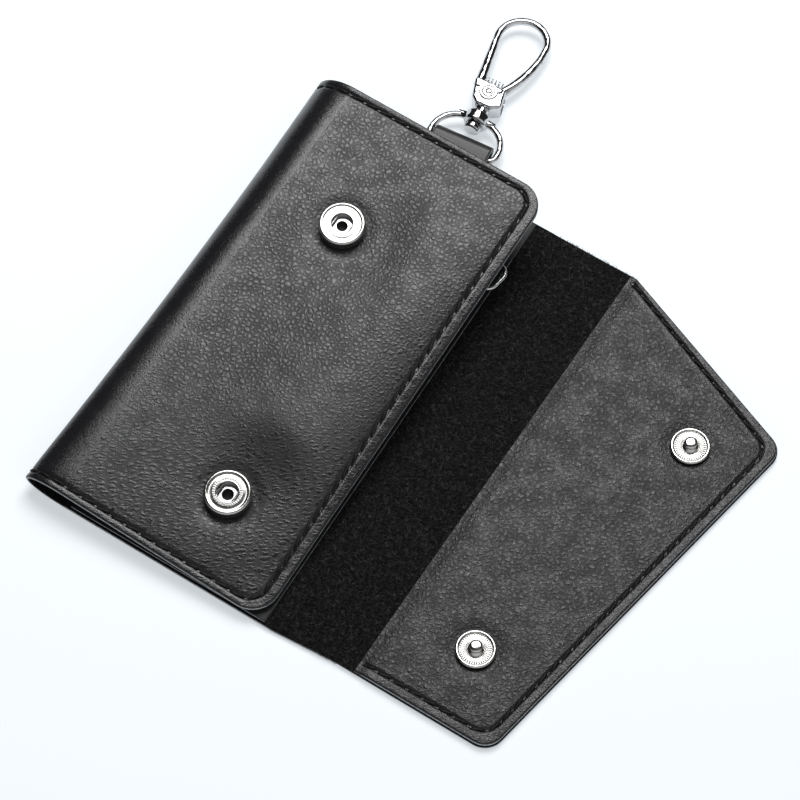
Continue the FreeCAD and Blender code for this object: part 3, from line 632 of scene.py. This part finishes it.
def metal(name, colour, low, high, waves=0.0):
    """Plated metal whose polish varies a little, with the soft waves of a casting."""
    material, tree = start_material(name)
    places = object_places(tree)
    casting = bump(tree, noise(tree, places, 420.0, 1.0), 1.0, waves)
    relief = bump(tree, noise(tree, places, 4000.0), 0.15, 0.01, Normal=casting)
    polish = ranged(tree, noise(tree, places, 300.0, 3.0), 0.3, 0.7, low, high)
    principled(tree, {"Base Color": colour + (1,), "Metallic": 1.0, "Roughness": polish, "Normal": relief})
    return material


def floor_material():
    """White table: lit part keeps the shadow, the rest shows white to the eye and in metal."""
    material, tree = start_material("table_white")
    diffuse = add(tree, "ShaderNodeBsdfDiffuse", {"Color": shaded(floor_colour, floor_diffuse_share)})
    path = tree.nodes.new("ShaderNodeLightPath")
    seen = math_node(tree, "ADD", path.outputs["Is Camera Ray"], path.outputs["Is Glossy Ray"])
    seen = math_node(tree, "ADD", seen, path.outputs["Is Transmission Ray"])
    glow_share = math_node(tree, "MULTIPLY", seen, floor_glow)
    glow = add(tree, "ShaderNodeEmission", {"Color": floor_colour + (1,), "Strength": glow_share})
    both = add(tree, "ShaderNodeAddShader", {0: diffuse.outputs[0], 1: glow.outputs[0]})
    clear = tree.nodes.new("ShaderNodeBsdfTransparent")
    side = tree.nodes.new("ShaderNodeNewGeometry").outputs["Backfacing"]
    surface = add(tree, "ShaderNodeMixShader", {0: side, 1: both.outputs[0], 2: clear.outputs[0]})
    finish_material(tree, surface.outputs[0])
    return material


pebbled = pebbled_leather("pebbled_leather", leather_colour, 1.0, 0.2, 0.58, 0.037)
facing_skin = pebbled_leather("facing_leather", leather_colour, 1.1, 0.24, 0.47, 0.062)
suede = suede_leather("suede")
fibres = fibre_material()
lining_skin = smooth_leather("lining_leather", (0.008, 0.008, 0.009), 0.6)
strap_skin = smooth_leather("strap_leather", (0.026, 0.026, 0.027), 0.36)
# painted highlight: a near-white cut-edge colour, paler than the raw edge itself, stands in for the light the
# edges catch
pale_edge_and_highlight = cut_edge("pale_edge_and_highlight", (0.74, 0.79, 0.84))
# painted shade: the other strip of an edge is made black like the leather, as the shade below the lit strip
# and in the gaps between layers
black_edge_and_shade = cut_edge("black_edge_and_shade", (0.014, 0.014, 0.014))
# partly painted highlight: the strap's grey-green cut edge is made lighter, standing in for the light on its
# cut end, which faces up
grey_green_edge_and_highlight = cut_edge("grey_green_edge_and_highlight", (0.42, 0.47, 0.43))
thread = thread_material()
chrome = metal("chrome", chrome_colour, 0.05, 0.12)
cast_chrome = metal("cast_chrome", chrome_colour, 0.05, 0.1, 0.35)
nickel = metal("nickel", (0.55, 0.545, 0.53), 0.14, 0.22)
steel = metal("steel", (0.6, 0.605, 0.61), 0.14, 0.26)
# painted shade: darkened steel stands in for the shade inside the sockets' hollow
socket_hollow_shade = metal("socket_hollow_shade", (0.3, 0.3, 0.305), 0.3, 0.45)


# Height of the cover and marks pressed into the leather

def smooth_step(share):
    share = np.clip(share, 0, 1)
    return share * share * (3 - 2 * share)


def fall(distance, run):
    """1 on the flat, dropping along a round curve to 0 at the end of the run."""
    return 1 - np.clip(distance / run, 0, 1) ** 2


def cover_top(x, y):
    """The cover's outer face: the model's plane with the crown and twist of soft leather, flat under
    the sockets."""
    plane = cover_height + cover_slope_x * x + cover_slope_y * y
    crown = cover_crown * smooth_step((x - crown_left) / (crown_right - crown_left))
    crown = crown * fall(x - crown_right, half_width - crown_right)
    toward_corner = crown_corner_way[0] * x + crown_corner_way[1] * y
    crown = crown * fall(toward_corner - crown_corner, crown_corner_run)
    crown = crown * fall(-y - crown_bottom, half_length - crown_bottom)
    crown = crown * fall(y - crown_top, half_length - crown_top)
    bend = crown + cover_twist * x * y + cover_tilt * x
    for place in socket_places.values():
        gap = np.hypot(x - place[0], y - place[1])
        bend = bend * smooth_step((gap - socket_radius) / socket_flat_run)
    rest = back_stack + cover_rest_gap + (shell + lining) * cover_stretch
    return np.maximum(plane + bend, rest)


def roll(gap, radius):
    """How far a rounded edge has dropped at a distance from the outline."""
    inner = np.clip(radius - gap, 0, radius)
    return radius - np.sqrt(radius ** 2 - inner ** 2)


def groove(gap, along):
    """Depth pressed in by a seam, deeper where the thread goes down."""
    pull = pucker_even + (1 - pucker_even) * np.cos(2 * math.pi * along / stitch_pitch)
    pressed = groove_depth * np.exp(-(gap / groove_width) ** 2)
    return pressed + pucker_depth * pull * np.exp(-(gap / pucker_width) ** 2)


def dents(x, y, places, radius):
    """Depth of the hollows that the snaps press round themselves."""
    total = 0 * x
    for place in places:
        gap = np.maximum(np.hypot(x - place[0], y - place[1]) - radius, 0)
        total = total + dent_depth * np.exp(-(gap / dent_width) ** 2)
    return total


def seam_grain(gap, edge_gap, margin):
    """Grain height: flatter outside the seam and in it."""
    inside = np.clip((edge_gap - margin) / seam_grain_run, 0, 1)
    pressed = seam_grain_loss * np.exp(-(gap / seam_grain_width) ** 2)
    return (seam_grain_share + (1 - seam_grain_share) * inside) * (1 - pressed)


def crease_share(x, y):
    """How far the pebbles are drawn out into creases, which grow toward the plain end."""
    return np.clip((crease_start - y + crease_slope * x) / crease_run, 0, 1)


def column_shares(width, coarse, free_left=False):
    ends = (0, width) if free_left else (width,)
    return positions(0, width, ends, (), coarse) / width


def flat_points(x, y, z):
    return np.stack([x, y, z + 0 * x], -1)


def near_places(x, y, places, radius):
    """Squares of a grid whose middle lies within a radius of one of the places."""
    cx = (x[:-1, :-1] + x[1:, 1:]) / 2
    cy = (y[:-1, :-1] + y[1:, 1:]) / 2
    found = np.zeros(cx.shape, bool)
    for place in places:
        found |= np.hypot(cx - place[0], cy - place[1]) < radius
    return found


# Leather pieces

cover_rows = positions(-half_length, half_length, (-half_length, half_length))
cover_outline = rounded(box_corners(spine_line, half_width, half_length), (corner_radius, corner_radius))
seam_radius = corner_radius - seam_end_margin
cover_seam_right = half_width - seam_side_margin
cover_seam_end = half_length - seam_end_margin
cover_seam_corners = box_corners(spine_line, cover_seam_right, cover_seam_end)
cover_seam_path = rounded(cover_seam_corners, (seam_radius, seam_radius))
lining_materials = [lining_skin, lining_skin, pale_edge_and_highlight, black_edge_and_shade]


def make_cover():
    columns = column_shares(half_width - spine_line, 0.7)
    x, y = sheet_grid(cover_outline, spine_line, cover_rows, columns)
    edge_gap = nearest(x, y, cover_outline)[0]
    gap, along = nearest(x, y, cover_seam_path)
    depth = roll(edge_gap, edge_roll) + groove(gap, along)
    depth = depth + dents(x, y, socket_places.values(), socket_radius)
    clear_of_spine = np.clip((x - spine_line + spine_grain_lead) / spine_grain_run, 0, 1)
    grain = seam_grain(gap, edge_gap, seam_end_margin)
    grain = grain * (spine_grain_share + (1 - spine_grain_share) * clear_of_spine)
    level = cover_top(x, y)
    top = flat_points(x, y, level - depth * cover_stretch)
    bottom = flat_points(x, y, level - (shell - roll(edge_gap, edge_roll / 2)) * cover_stretch)
    holes = near_places(x, y, socket_places.values(), socket_bore)
    piece = sheet_piece("front_cover_leather", top, bottom, [pebbled, suede, pale_edge_and_highlight, black_edge_and_shade],
                        {"grain": grain, "crease": crease_share(x, y)}, holes, joined=("left",))
    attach(piece, "cover")
    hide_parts("front_cover")


def lining_places(corners, radius, right):
    """Places over a lining, and how far its rounded edge has dropped at each."""
    outline = rounded(corners, (radius, radius))
    rows = positions(-lining_end, lining_end, (-lining_end, lining_end), (), 1.2)
    x, y = sheet_grid(outline, lining_left, rows, column_shares(right - lining_left, 1.2, True))
    edge_gap = np.minimum(nearest(x, y, outline)[0], x - lining_left)
    return x, y, roll(edge_gap, lining / 4)


def make_cover_lining():
    corners = box_corners(lining_left, cover_lining_right, lining_end)
    radius = corner_radius - half_width + cover_lining_right
    x, y, drop = lining_places(corners, radius, cover_lining_right)
    level = cover_top(x, y) - shell * cover_stretch
    top = flat_points(x, y, level - drop * cover_stretch)
    bottom = flat_points(x, y, level - (lining - drop) * cover_stretch)
    piece = sheet_piece("cover_lining_leather", top, bottom, lining_materials)
    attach(piece, "cover")
    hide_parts("cover_lining")


def spine_surface(y, depth, shares):
    """Points of the spine's oval band at a depth below its outer face, from the floor round to the cover."""
    reach = half_width + spine_line - spine_waist * (1 - (y / half_length) ** 2) - depth
    border = spine_line + 0 * y
    step = 0.5
    slope = (cover_top(border + step, y) - cover_top(border, y)) / step
    level = cover_top(border, y) - depth * cover_stretch
    angle = math.pi * (1.5 - shares)
    x = reach * np.cos(angle)
    z = (level + depth) / 2 + (level - depth) / 2 * np.sin(angle)
    return np.stack([border + x, y, z + slope * x * (1 + np.sin(angle)) / 2], -1)


def spine_flat(y, shares):
    """Flat pattern places: lengths round the band, counted back from the cover."""
    band = spine_surface(y, 0 * y, shares)
    runs = np.linalg.norm(np.diff(band, axis=1), axis=2)
    back = np.concatenate([np.cumsum(runs[:, ::-1], axis=1)[:, ::-1], np.zeros((len(y), 1))], 1)
    return np.stack([spine_line - back, y], -1)


def make_spine():
    shares, y = np.meshgrid(np.linspace(0, 1, 97), cover_rows)
    end_gap = half_length - np.abs(y)
    flat = spine_flat(y, shares)
    gap = np.abs(np.abs(y) - cover_seam_end)
    depth = roll(end_gap, edge_roll) + groove(gap, flat[..., 0])
    top = spine_surface(y, depth, shares)
    bottom = spine_surface(y, shell - roll(end_gap, edge_roll / 2), shares)
    near_cover = np.clip((flat[..., 0] - spine_line + band_grain_run) / band_grain_run, 0, 1)
    grain = seam_grain(gap, end_gap, seam_end_margin) * band_grain * (1 + near_cover)
    crease = crease_share(spine_line, y)
    piece = sheet_piece("spine_leather", top, bottom, [pebbled, suede, pale_edge_and_highlight, black_edge_and_shade],
                        {"grain": grain, "crease": crease}, joined=("left", "right"), flat=flat)
    bend_spine(piece)
    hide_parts("spine")


def bend_spine(piece):
    """Bakes the band's placement into its mesh."""
    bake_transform(piece)


def bend_strip(piece):
    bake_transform(piece)


def make_back():
    outline = rounded(box_corners(spine_line, back_edge, half_length), (0, 0))
    columns = np.linspace(0, 1, 48)
    x, y = sheet_grid(outline, spine_line, cover_rows, columns)
    end_gap = half_length - np.abs(y)
    seam_gap = np.abs(np.abs(y) - cover_seam_end)
    top = flat_points(x, y, shell - roll(end_gap, edge_roll / 2))
    bottom = flat_points(x, y, roll(end_gap, edge_roll) + groove(seam_gap, x))
    grain = seam_grain(seam_gap, end_gap, seam_end_margin)
    piece = sheet_piece("back_panel_leather", top, bottom, [suede, pebbled, pale_edge_and_highlight, black_edge_and_shade],
                        {"grain": grain, "crease": 0 * x}, joined=("left", "right"))
    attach(piece, "base")
    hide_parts("back_panel")


def make_back_lining():
    corners = [(lining_left, -lining_end), (lining_bottom_right, -lining_end),
               (lining_top_right, lining_end), (lining_left, lining_end)]
    x, y, drop = lining_places(corners, 0, lining_bottom_right)
    top = flat_points(x, y, back_stack - drop)
    bottom = flat_points(x, y, shell + drop)
    piece = sheet_piece("back_lining_leather", top, bottom, lining_materials)
    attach(piece, "base")
    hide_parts("back_lining")


def make_strip():
    lower_edge = np.array([(back_edge, -half_length), (flap_start, flap_bottom)])
    shares = np.linspace(0, 1, 64)
    low = -half_length + (flap_bottom + half_length) * shares
    rows = positions(0, 2 * half_length, (0, 2 * half_length), (), 0.7) / (2 * half_length)
    y = low[None, :] + (half_length - low)[None, :] * rows[:, None]
    x = np.repeat((back_edge + (flap_start - back_edge) * shares)[None, :], len(rows), 0)
    end_gap = np.minimum(nearest(x, y, lower_edge)[0], half_length - y)
    top = flat_points(x, y, shell - roll(end_gap, edge_roll))
    bottom = flat_points(x, y, roll(end_gap, edge_roll / 2))
    piece = sheet_piece("fold_strip_suede", top, bottom, [suede, pebbled, pale_edge_and_highlight, black_edge_and_shade],
                        {"grain": strip_grain + 0 * x, "crease": 0 * x}, joined=("left", "right"))
    bend_strip(piece)
    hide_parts("fold_strip")


flap_corners = [(flap_start, flap_bottom), flap_lower, flap_upper, flap_slant, (flap_start, half_length)]
flap_outline = rounded(flap_corners, (flap_corner_radius, flap_corner_radius, 0))
facing_corners = inset(flap_corners, facing_inset)
facing_corners[0][0] = facing_left
facing_corners[-1][0] = facing_left
facing_radius = flap_corner_radius - facing_inset
facing_outline = rounded(facing_corners, (facing_radius, facing_radius, 0))
flap_seam_corners = inset(flap_corners, seam_side_margin)[:4]
flap_seam_corners[0][0] = facing_left + flap_seam_start
flap_seam_corners[3] = flap_seam_corners[3] + slant_seam_shift * np.array(slant_seam_way)
flap_seam_path = rounded(flap_seam_corners, (seam_radius, seam_radius))


def make_flap():
    rows = positions(flap_bottom, half_length, (flap_bottom, half_length), (flap_upper[1],))
    x, y = sheet_grid(flap_outline, flap_start, rows, column_shares(flap_upper[0] - flap_start, 0.7))
    edge_gap = nearest(x, y, flap_outline)[0]
    gap, along = nearest(x, y, flap_seam_path)
    top = flat_points(x, y, shell - roll(edge_gap, edge_roll / 2))
    bottom = flat_points(x, y, roll(edge_gap, edge_roll) + groove(gap, along))
    grain = seam_grain(gap, edge_gap, seam_side_margin)
    piece = sheet_piece("flap_leather", top, bottom, [suede, pebbled, black_edge_and_shade, pale_edge_and_highlight],
                        {"grain": grain, "crease": 0 * x}, joined=("left",))
    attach(piece, "flap")
    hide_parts("flap")


def facing_thickness(x):
    """The facing is pared thin toward its left edge."""
    return skived_edge + (facing - skived_edge) * smooth_step((x - facing_left) / skive_width)


def make_facing():
    low, high = facing_outline[0][1], facing_outline[-1][1]
    rows = positions(low, high, (low, high), (flap_upper[1],))
    x, y = sheet_grid(facing_outline, facing_left, rows,
                      column_shares(flap_upper[0] - facing_left, 0.45, True))
    edge_gap = nearest(x, y, facing_outline)[0]
    gap, along = nearest(x, y, flap_seam_path)
    thick = facing_thickness(x)
    depth = roll(edge_gap, edge_roll) + facing_groove_share * groove(gap, along)
    depth = depth + dents(x, y, stud_places.values(), stud_radius)
    depth = np.minimum(depth, thick - facing_least)
    top = flat_points(x, y, shell + thick - depth)
    bottom = flat_points(x, y, shell + 0 * x)
    grain = seam_grain(gap, edge_gap, seam_side_margin)
    holes = near_places(x, y, stud_places.values(), stud_radius / 2)
    piece = sheet_piece("flap_facing_leather", top, bottom, [facing_skin, suede, pale_edge_and_highlight, pale_edge_and_highlight],
                        {"grain": grain, "crease": facing_crease + 0 * x}, holes)
    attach(piece, "flap")
    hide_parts("flap_facing")


# Thread

stitch_run = np.linspace(-1, 1, 9)
stitch_drop = stitch_depth + stitch_sink * stitch_run ** 6


def stitch_paths(path, level_at, sign=1.0):
    """Short arched runs of thread, one for each stitch of a seam."""
    centres, ways = resampled(path, stitch_pitch)
    sides = np.stack([-ways[:, 1], ways[:, 0]], 1)
    plan = (centres[:, None] + ways[:, None] * (stitch_run * stitch_half)[None, :, None]
            + sides[:, None] * (stitch_run * stitch_slant)[None, :, None])
    level = level_at(plan[..., 0], plan[..., 1]) - sign * stitch_drop
    return np.concatenate([plan, level[..., None]], 2)


def make_cover_seam():
    paths = stitch_paths(cover_seam_path, cover_top)
    piece = tubes("cover_seam_thread", paths, thread_radius, thread)
    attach(piece, "cover")
    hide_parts("cover_seam")


def make_flap_seam():
    def facing_level(x, y):
        return shell + facing_thickness(x)

    def outer_level(x, y):
        return thread_radius + thread_floor_gap + 0 * x

    above = stitch_paths(flap_seam_path, facing_level)
    below = stitch_paths(flap_seam_path, outer_level, -1.0)
    piece = tubes("flap_seam_thread", np.concatenate([above, below]), thread_radius, thread)
    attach(piece, "flap")
    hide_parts("flap_seam")


def make_spine_seam():
    """Stitches that carry the two end seams round the spine."""
    flat_lengths = spine_seam_start + stitch_pitch * np.arange(spine_stitches)
    paths = []
    for end in (-cover_seam_end, cover_seam_end):
        shares = np.linspace(0, 1, 121)[None, :]
        y = np.full(shares.shape, end)
        back = spine_line - spine_flat(y, shares)[0, :, 0]
        for length in flat_lengths:
            at = np.interp(length + stitch_run * stitch_half, back[::-1], shares[0, ::-1])[None, :]
            ends = np.full((1, len(stitch_run)), end)
            paths.append(spine_surface(ends, stitch_drop[None, :], at)[0])
    piece = tubes("spine_seam_thread", paths, thread_radius, thread)
    bend_spine(piece)


# Suede fibres

def fibre_ribbons(name, places, headings, lengths, level):
    """Thin curled ribbons, each starting on the suede and rising a little."""
    count = len(places)
    run = np.linspace(0, 1, 4)
    bend = random.uniform(-fibre_curl, fibre_curl, count)
    turn = headings[:, None] + bend[:, None] * run
    step = lengths[:, None] / (len(run) - 1) + 0 * turn
    x = places[:, 0:1] + np.cumsum(np.cos(turn) * step, 1) - np.cos(turn) * step
    y = places[:, 1:2] + np.cumsum(np.sin(turn) * step, 1) - np.sin(turn) * step
    z = level + random.uniform(fibre_least_rise, 1, count)[:, None] * fibre_rise * np.sin(run * fibre_arch)
    half = fibre_width / 2 * (1 - fibre_taper * run)
    across_x = -np.sin(turn) * half
    across_y = np.cos(turn) * half
    one = np.stack([x + across_x, y + across_y, z], -1)
    two = np.stack([x - across_x, y - across_y, z + fibre_tilt], -1)
    points = np.stack([one, two], 2).reshape(-1, 3)
    number = np.arange(len(points)).reshape(count, len(run), 2)
    faces = np.stack([number[:, :-1, 0], number[:, :-1, 1], number[:, 1:, 1], number[:, 1:, 0]], -1)
    return mesh_piece(name, points, [faces.reshape(-1, 4)], [fibres])


def scattered(left, right, low, high):
    count = int((right - left) * (high - low) * fibre_density)
    places = np.stack([random.uniform(left, right, count), random.uniform(low, high, count)], 1)
    return places, random.uniform(0, 2 * math.pi, count), random.uniform(*fibre_length, count)


def edge_fibres(left, right, y, heading):
    count = int((right - left) / edge_fibre_spacing)
    places = np.stack([random.uniform(left, right, count), np.full(count, y)], 1)
    headings = heading + random.normal(0, edge_fibre_spread, count)
    return places, headings, random.uniform(*edge_fibre_length, count)


def make_strip_fibres():
    spread = scattered(back_edge, flap_start, flap_bottom + fibre_inset, half_length - fibre_inset)
    upper = edge_fibres(back_edge, flap_start, half_length - edge_fibre_gap, math.pi / 2)
    lower = edge_fibres(back_edge + lower_fibre_start, flap_start, flap_bottom - edge_fibre_gap, -math.pi / 2)
    places, headings, lengths = [np.concatenate(parts) for parts in zip(spread, upper, lower)]
    piece = fibre_ribbons("strip_fibres", places, headings, lengths, shell)
    bend_strip(piece)


def make_flap_fibres():
    spread = scattered(flap_start, facing_left, flap_bottom + fibre_inset, half_length - fibre_inset)
    upper = edge_fibres(flap_start, flap_slant[0], half_length - edge_fibre_gap, math.pi / 2)
    places, headings, lengths = [np.concatenate(parts) for parts in zip(spread, upper)]
    piece = fibre_ribbons("flap_fibres", places, headings, lengths, shell)
    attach(piece, "flap")


def make_back_fibres():
    places, headings, lengths = scattered(lining_top_right, back_edge, -half_length, half_length)
    edge = np.interp(places[:, 1], (-lining_end, lining_end), (lining_bottom_right, lining_top_right))
    kept = places[:, 0] > edge + edge_fibre_gap
    piece = fibre_ribbons("back_fibres", places[kept], headings[kept], lengths[kept], shell)
    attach(piece, "base")


# Strap

def make_strap():
    """A strap folded loosely round the ring's bar, its two tails lying on each other."""
    def half_section(circle, level):
        run = strap_slack + strap_flat_end
        lift = math.hypot(run, level)
        swing = math.atan2(level, run)
        touch = math.pi - swing - math.acos(circle / lift)
        high = (strap_slack + circle * math.cos(touch), circle * math.sin(touch))
        tail = np.linspace((-strap_tail_end, level), (-strap_flat_end, level), 10)
        ramp = np.linspace((-strap_flat_end, level), high, 8)[1:]
        angle = np.linspace(touch, 0, 16)[1:]
        bend = np.stack([strap_slack + circle * np.cos(angle), circle * np.sin(angle)], 1)
        return np.concatenate([tail, ramp, bend])

    def section(circle, level):
        upper = half_section(circle, level)
        lower = upper[::-1][1:] * (1, -1)
        return np.concatenate([upper, lower])

    outer = section(strap_inner + strap_thickness, strap_thickness)
    inner = section(strap_inner, 0.0)
    half = strap_width / 2
    across = positions(-half, half, (-half, half), (), 1.0)[::-1]
    gap = half - np.abs(across)
    drop = roll(gap, strap_roll)[None, :, None] / strap_thickness
    turn = Matrix.Rotation(math.radians(strap_lean), 3, "Z")

    def spread(line):
        grid = np.zeros((len(line), len(across), 3))
        grid[..., 0] = across[None, :]
        grid[..., 1:] = line[:, None]
        return grid

    top = spread(outer)
    bottom = spread(inner)
    top, bottom = top + (bottom - top) * drop, bottom + (top - bottom) * drop
    top = top @ np.array(turn).T + np.array(strap_bar)
    bottom = bottom @ np.array(turn).T + np.array(strap_bar)
    flat = np.stack(np.meshgrid(across, np.linspace(0, strap_pattern_length, len(outer))), -1)
    piece = sheet_piece("loop_strap_leather", top[::-1], bottom[::-1],
                        [strap_skin, strap_skin, grey_green_edge_and_highlight, grey_green_edge_and_highlight], flat=flat)
    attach(piece, "base")
    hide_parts("loop_strap")


# Snaps

def make_stud(name):
    rim = stud_radius
    profile = [(rim - 0.5, -0.15), (rim - 0.12, 0.0), (rim, 0.22), (rim, 0.42), (rim - 0.08, 0.6),
               (rim - 0.25, 0.7), (rim - 0.5, 0.7),
               (rim - 0.66, 0.62), (rim - 0.76, 0.48), (rim - 0.85, 0.42)]
    profile += [(radius, 0.42) for radius in np.linspace(3.25, 1.75, 10)]
    profile += [(1.62, 0.46), (1.5, 0.56), (1.2, 0.72), (1.07, 0.9), (1.05, 1.15), (1.12, 1.38),
                (1.3, 1.6), (1.4, 1.82), (1.36, 2.02), (1.2, 2.17), (0.9, 2.26), (0.45, stud_height),
                (0.001, stud_height)]

    def ribs(radius, level, angle):
        band = np.clip((radius - 1.75) / 0.15, 0, 1) * np.clip((3.3 - radius) / 0.15, 0, 1)
        wave = np.clip(1.4 * np.cos(stud_ribs * angle) + 0.1, 0, 1)
        return 0 * angle, 0.3 * band * wave

    piece = lathe(name + "_stud_metal", profile, ribs, [nickel], 560)
    x, y = stud_places[name]
    piece.location = Vector((x, y, shell + facing)) * mm
    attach(piece, "flap")
    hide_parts(name + "_stud")


def make_socket(name):
    rim = socket_radius
    top = socket_height
    profile = [(socket_bore, 0.3), (socket_bore, 0.0), (rim - 0.1, 0.0), (rim, 0.12)]
    profile += [(rim, level) for level in np.linspace(0.25, 1.5, 5)]
    profile += [(rim - 0.6 + 0.6 * math.cos(a), top - 0.6 + 0.6 * math.sin(a))
                for a in np.linspace(0, math.pi / 2, 8)]
    profile += [(4.25, top - 0.02), (4.1, top - 0.1), (3.95, top - 0.12), (3.6, top - 0.11),
                (3.3, top - 0.08)]
    profile += [(radius, top - 0.06) for radius in np.linspace(3.15, 2.55, 13)]
    profile += [(2.45, top - 0.02), (2.36, top - 0.02), (2.28, top - 0.08), (socket_hole, top - 0.18)]
    # The rest of the profile lines the hollow, which takes the painted shade
    inside = len(profile) - 1
    profile += [(socket_hole, top - 0.6), (socket_cavity, top - 0.62), (socket_cavity, 0.3),
                (socket_bore, 0.3)]

    def relief(radius, level, angle):
        side = np.clip((radius - rim + 0.35) / 0.3, 0, 1) * np.clip((level - 0.1) / 0.1, 0, 1)
        knurl = 0.12 * side * np.abs(np.cos(socket_knurls * angle))
        upper = (level > top - 0.3)
        ring = upper * np.exp(-((radius - 2.85) / 0.13) ** 2)
        dots = 0.13 * ring * np.clip(2 * np.cos(socket_dots * angle) - 0.5, 0, 1)
        return -knurl, dots

    piece = lathe(name + "_socket_metal", profile, relief, [nickel, socket_hollow_shade], 540, inside)
    turn = Vector((0, 0, 1)).rotation_difference(cover_normal).to_matrix().to_4x4()
    piece.matrix_world = Matrix.Translation(Vector(socket_places[name]) * mm) @ turn
    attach(piece, "cover")
    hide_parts(name + "_socket")


def no_relief(radius, level, angle):
    return 0 * angle, 0 * angle


def make_rivet_heads():
    """Turned heads, with rings, on both ends of the gate's rivet."""
    profile = [(2.05, 0.0), (2.1, 0.12), (2.0, 0.28), (1.75, 0.36), (1.62, 0.26), (1.45, 0.26), (1.32, 0.36),
               (1.0, 0.4), (0.86, 0.3), (0.7, 0.3), (0.56, 0.4), (0.3, 0.44), (0.001, 0.45)]
    for name, side in (("upper", 1), ("lower", -1)):
        piece = lathe(name + "_rivet_head", profile, no_relief, [chrome], 64)
        turn = Matrix.Rotation(0 if side > 0 else math.pi, 4, "X")
        place = Vector((rivet_place[0], rivet_place[1], rivet_place[2] + side * clasp_half_thickness))
        piece.matrix_world = Matrix.Translation(place * mm) @ turn
        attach(piece, "clasp")


def make_spring():
    """The gate's coil spring."""
    turns = np.linspace(0, spring_turns, 24 * spring_turns + 1)
    angle = 2 * math.pi * turns
    coil = np.stack([
        spring_start + spring_run * turns / spring_turns,
        spring_along + spring_coil_radius * np.cos(angle),
        spring_coil_radius * np.sin(angle)], -1)
    turn = np.array(Matrix.Rotation(math.radians(strap_lean), 3, "Z"))
    coil = coil @ turn.T + np.array(rivet_place)
    piece = tubes("gate_spring_wire", [coil], spring_wire_radius, steel, 10, turn[:, 0])
    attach(piece, "clasp")
    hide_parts("gate_spring")
    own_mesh(piece)


# Metal parts carried over from the model

def dress_metal():
    cast = ["swivel_ring", "clasp_body", "clasp_gate"]
    chromed = ["swivel_post", "gate_pin"]
    plain = ["hook_plate", "plate_rivets", "hook_pins", "strap_rivet"]
    plain += ["key_hook_%d" % number for number in range(1, 7)]
    for name in ("upper", "lower"):
        plain += [name + "_socket_wires", name + "_socket_post", name + "_stud_post"]
    for names, material in ((cast, cast_chrome), (chromed, chrome), (plain, steel)):
        for name in names:
            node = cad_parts[name]
            node.data.materials.clear()
            node.data.materials.append(material)


# Stage

def make_floor():
    edge = floor_half
    points = np.array([(-edge, -edge, 0), (edge, -edge, 0), (edge, edge, 0), (-edge, edge, 0)], float)
    piece = mesh_piece("table", points, [np.array([[0, 1, 2, 3]])], [floor_material()])


def make_camera():
    elevation, azimuth, tilt = [math.radians(a) for a in (camera_elevation, camera_azimuth, camera_roll)]
    back = Vector((math.sin(azimuth) * math.cos(elevation), -math.cos(azimuth) * math.cos(elevation),
                   math.sin(elevation)))
    right = Vector((math.cos(azimuth), math.sin(azimuth), 0))
    up = back.cross(right)
    turned_right = right * math.cos(tilt) + up * math.sin(tilt)
    turned_up = up * math.cos(tilt) - right * math.sin(tilt)
    data = bpy.data.cameras.new("photo_camera")
    data.sensor_width = sensor_width
    data.lens = camera_focal * sensor_width / photo_size
    data.clip_start = 0.01
    camera = bpy.data.objects.new("photo_camera", data)
    place = (Vector(camera_target) + back * camera_distance) * mm
    turn = Matrix((turned_right, turned_up, back)).transposed().to_4x4()
    camera.matrix_world = Matrix.Translation(place) @ turn
    bpy.context.scene.collection.objects.link(camera)
    bpy.context.scene.camera = camera


def make_softbox():
    """One lamp above and behind the case."""
    data = bpy.data.lights.new("softbox", "AREA")
    data.shape = "RECTANGLE"
    data.size, data.size_y = lamp_size
    data.energy = lamp_power
    lamp = bpy.data.objects.new("softbox", data)
    lamp.location = Vector(lamp_place)
    lamp.rotation_mode = "QUATERNION"
    own_turn = Quaternion((0, 0, 1), math.radians(lamp_roll))
    lamp.rotation_quaternion = (Vector(lamp_aim) - Vector(lamp_place)).to_track_quat("-Z", "Y") @ own_turn
    bpy.context.scene.collection.objects.link(lamp)


def make_sky():
    """A sky that is dark but for a pale side in front."""
    world = bpy.data.worlds.new("studio")
    bpy.context.scene.world = world
    world.use_nodes = True
    tree = world.node_tree
    way = add(tree, "ShaderNodeTexCoord", {}).outputs["Generated"]
    front = vector_math(tree, "DOT_PRODUCT", {0: way, 1: sky_front})["Value"]
    tone = mixed(tree, ranged(tree, front, *sky_range), grey(sky_dark), grey(sky_pale))
    tree.links.new(tone, tree.nodes["Background"].inputs["Color"])


make_cover()
make_cover_lining()
make_spine()
make_back()
make_back_lining()
make_strip()
make_flap()
make_facing()
make_cover_seam()
make_flap_seam()
make_spine_seam()
make_strip_fibres()
make_flap_fibres()
make_back_fibres()
make_strap()
for snap in ("upper", "lower"):
    make_stud(snap)
    make_socket(snap)
make_rivet_heads()
make_spring()
dress_metal()
make_floor()
make_camera()
make_softbox()
make_sky()
bpy.context.scene.view_settings.view_transform = "Standard"
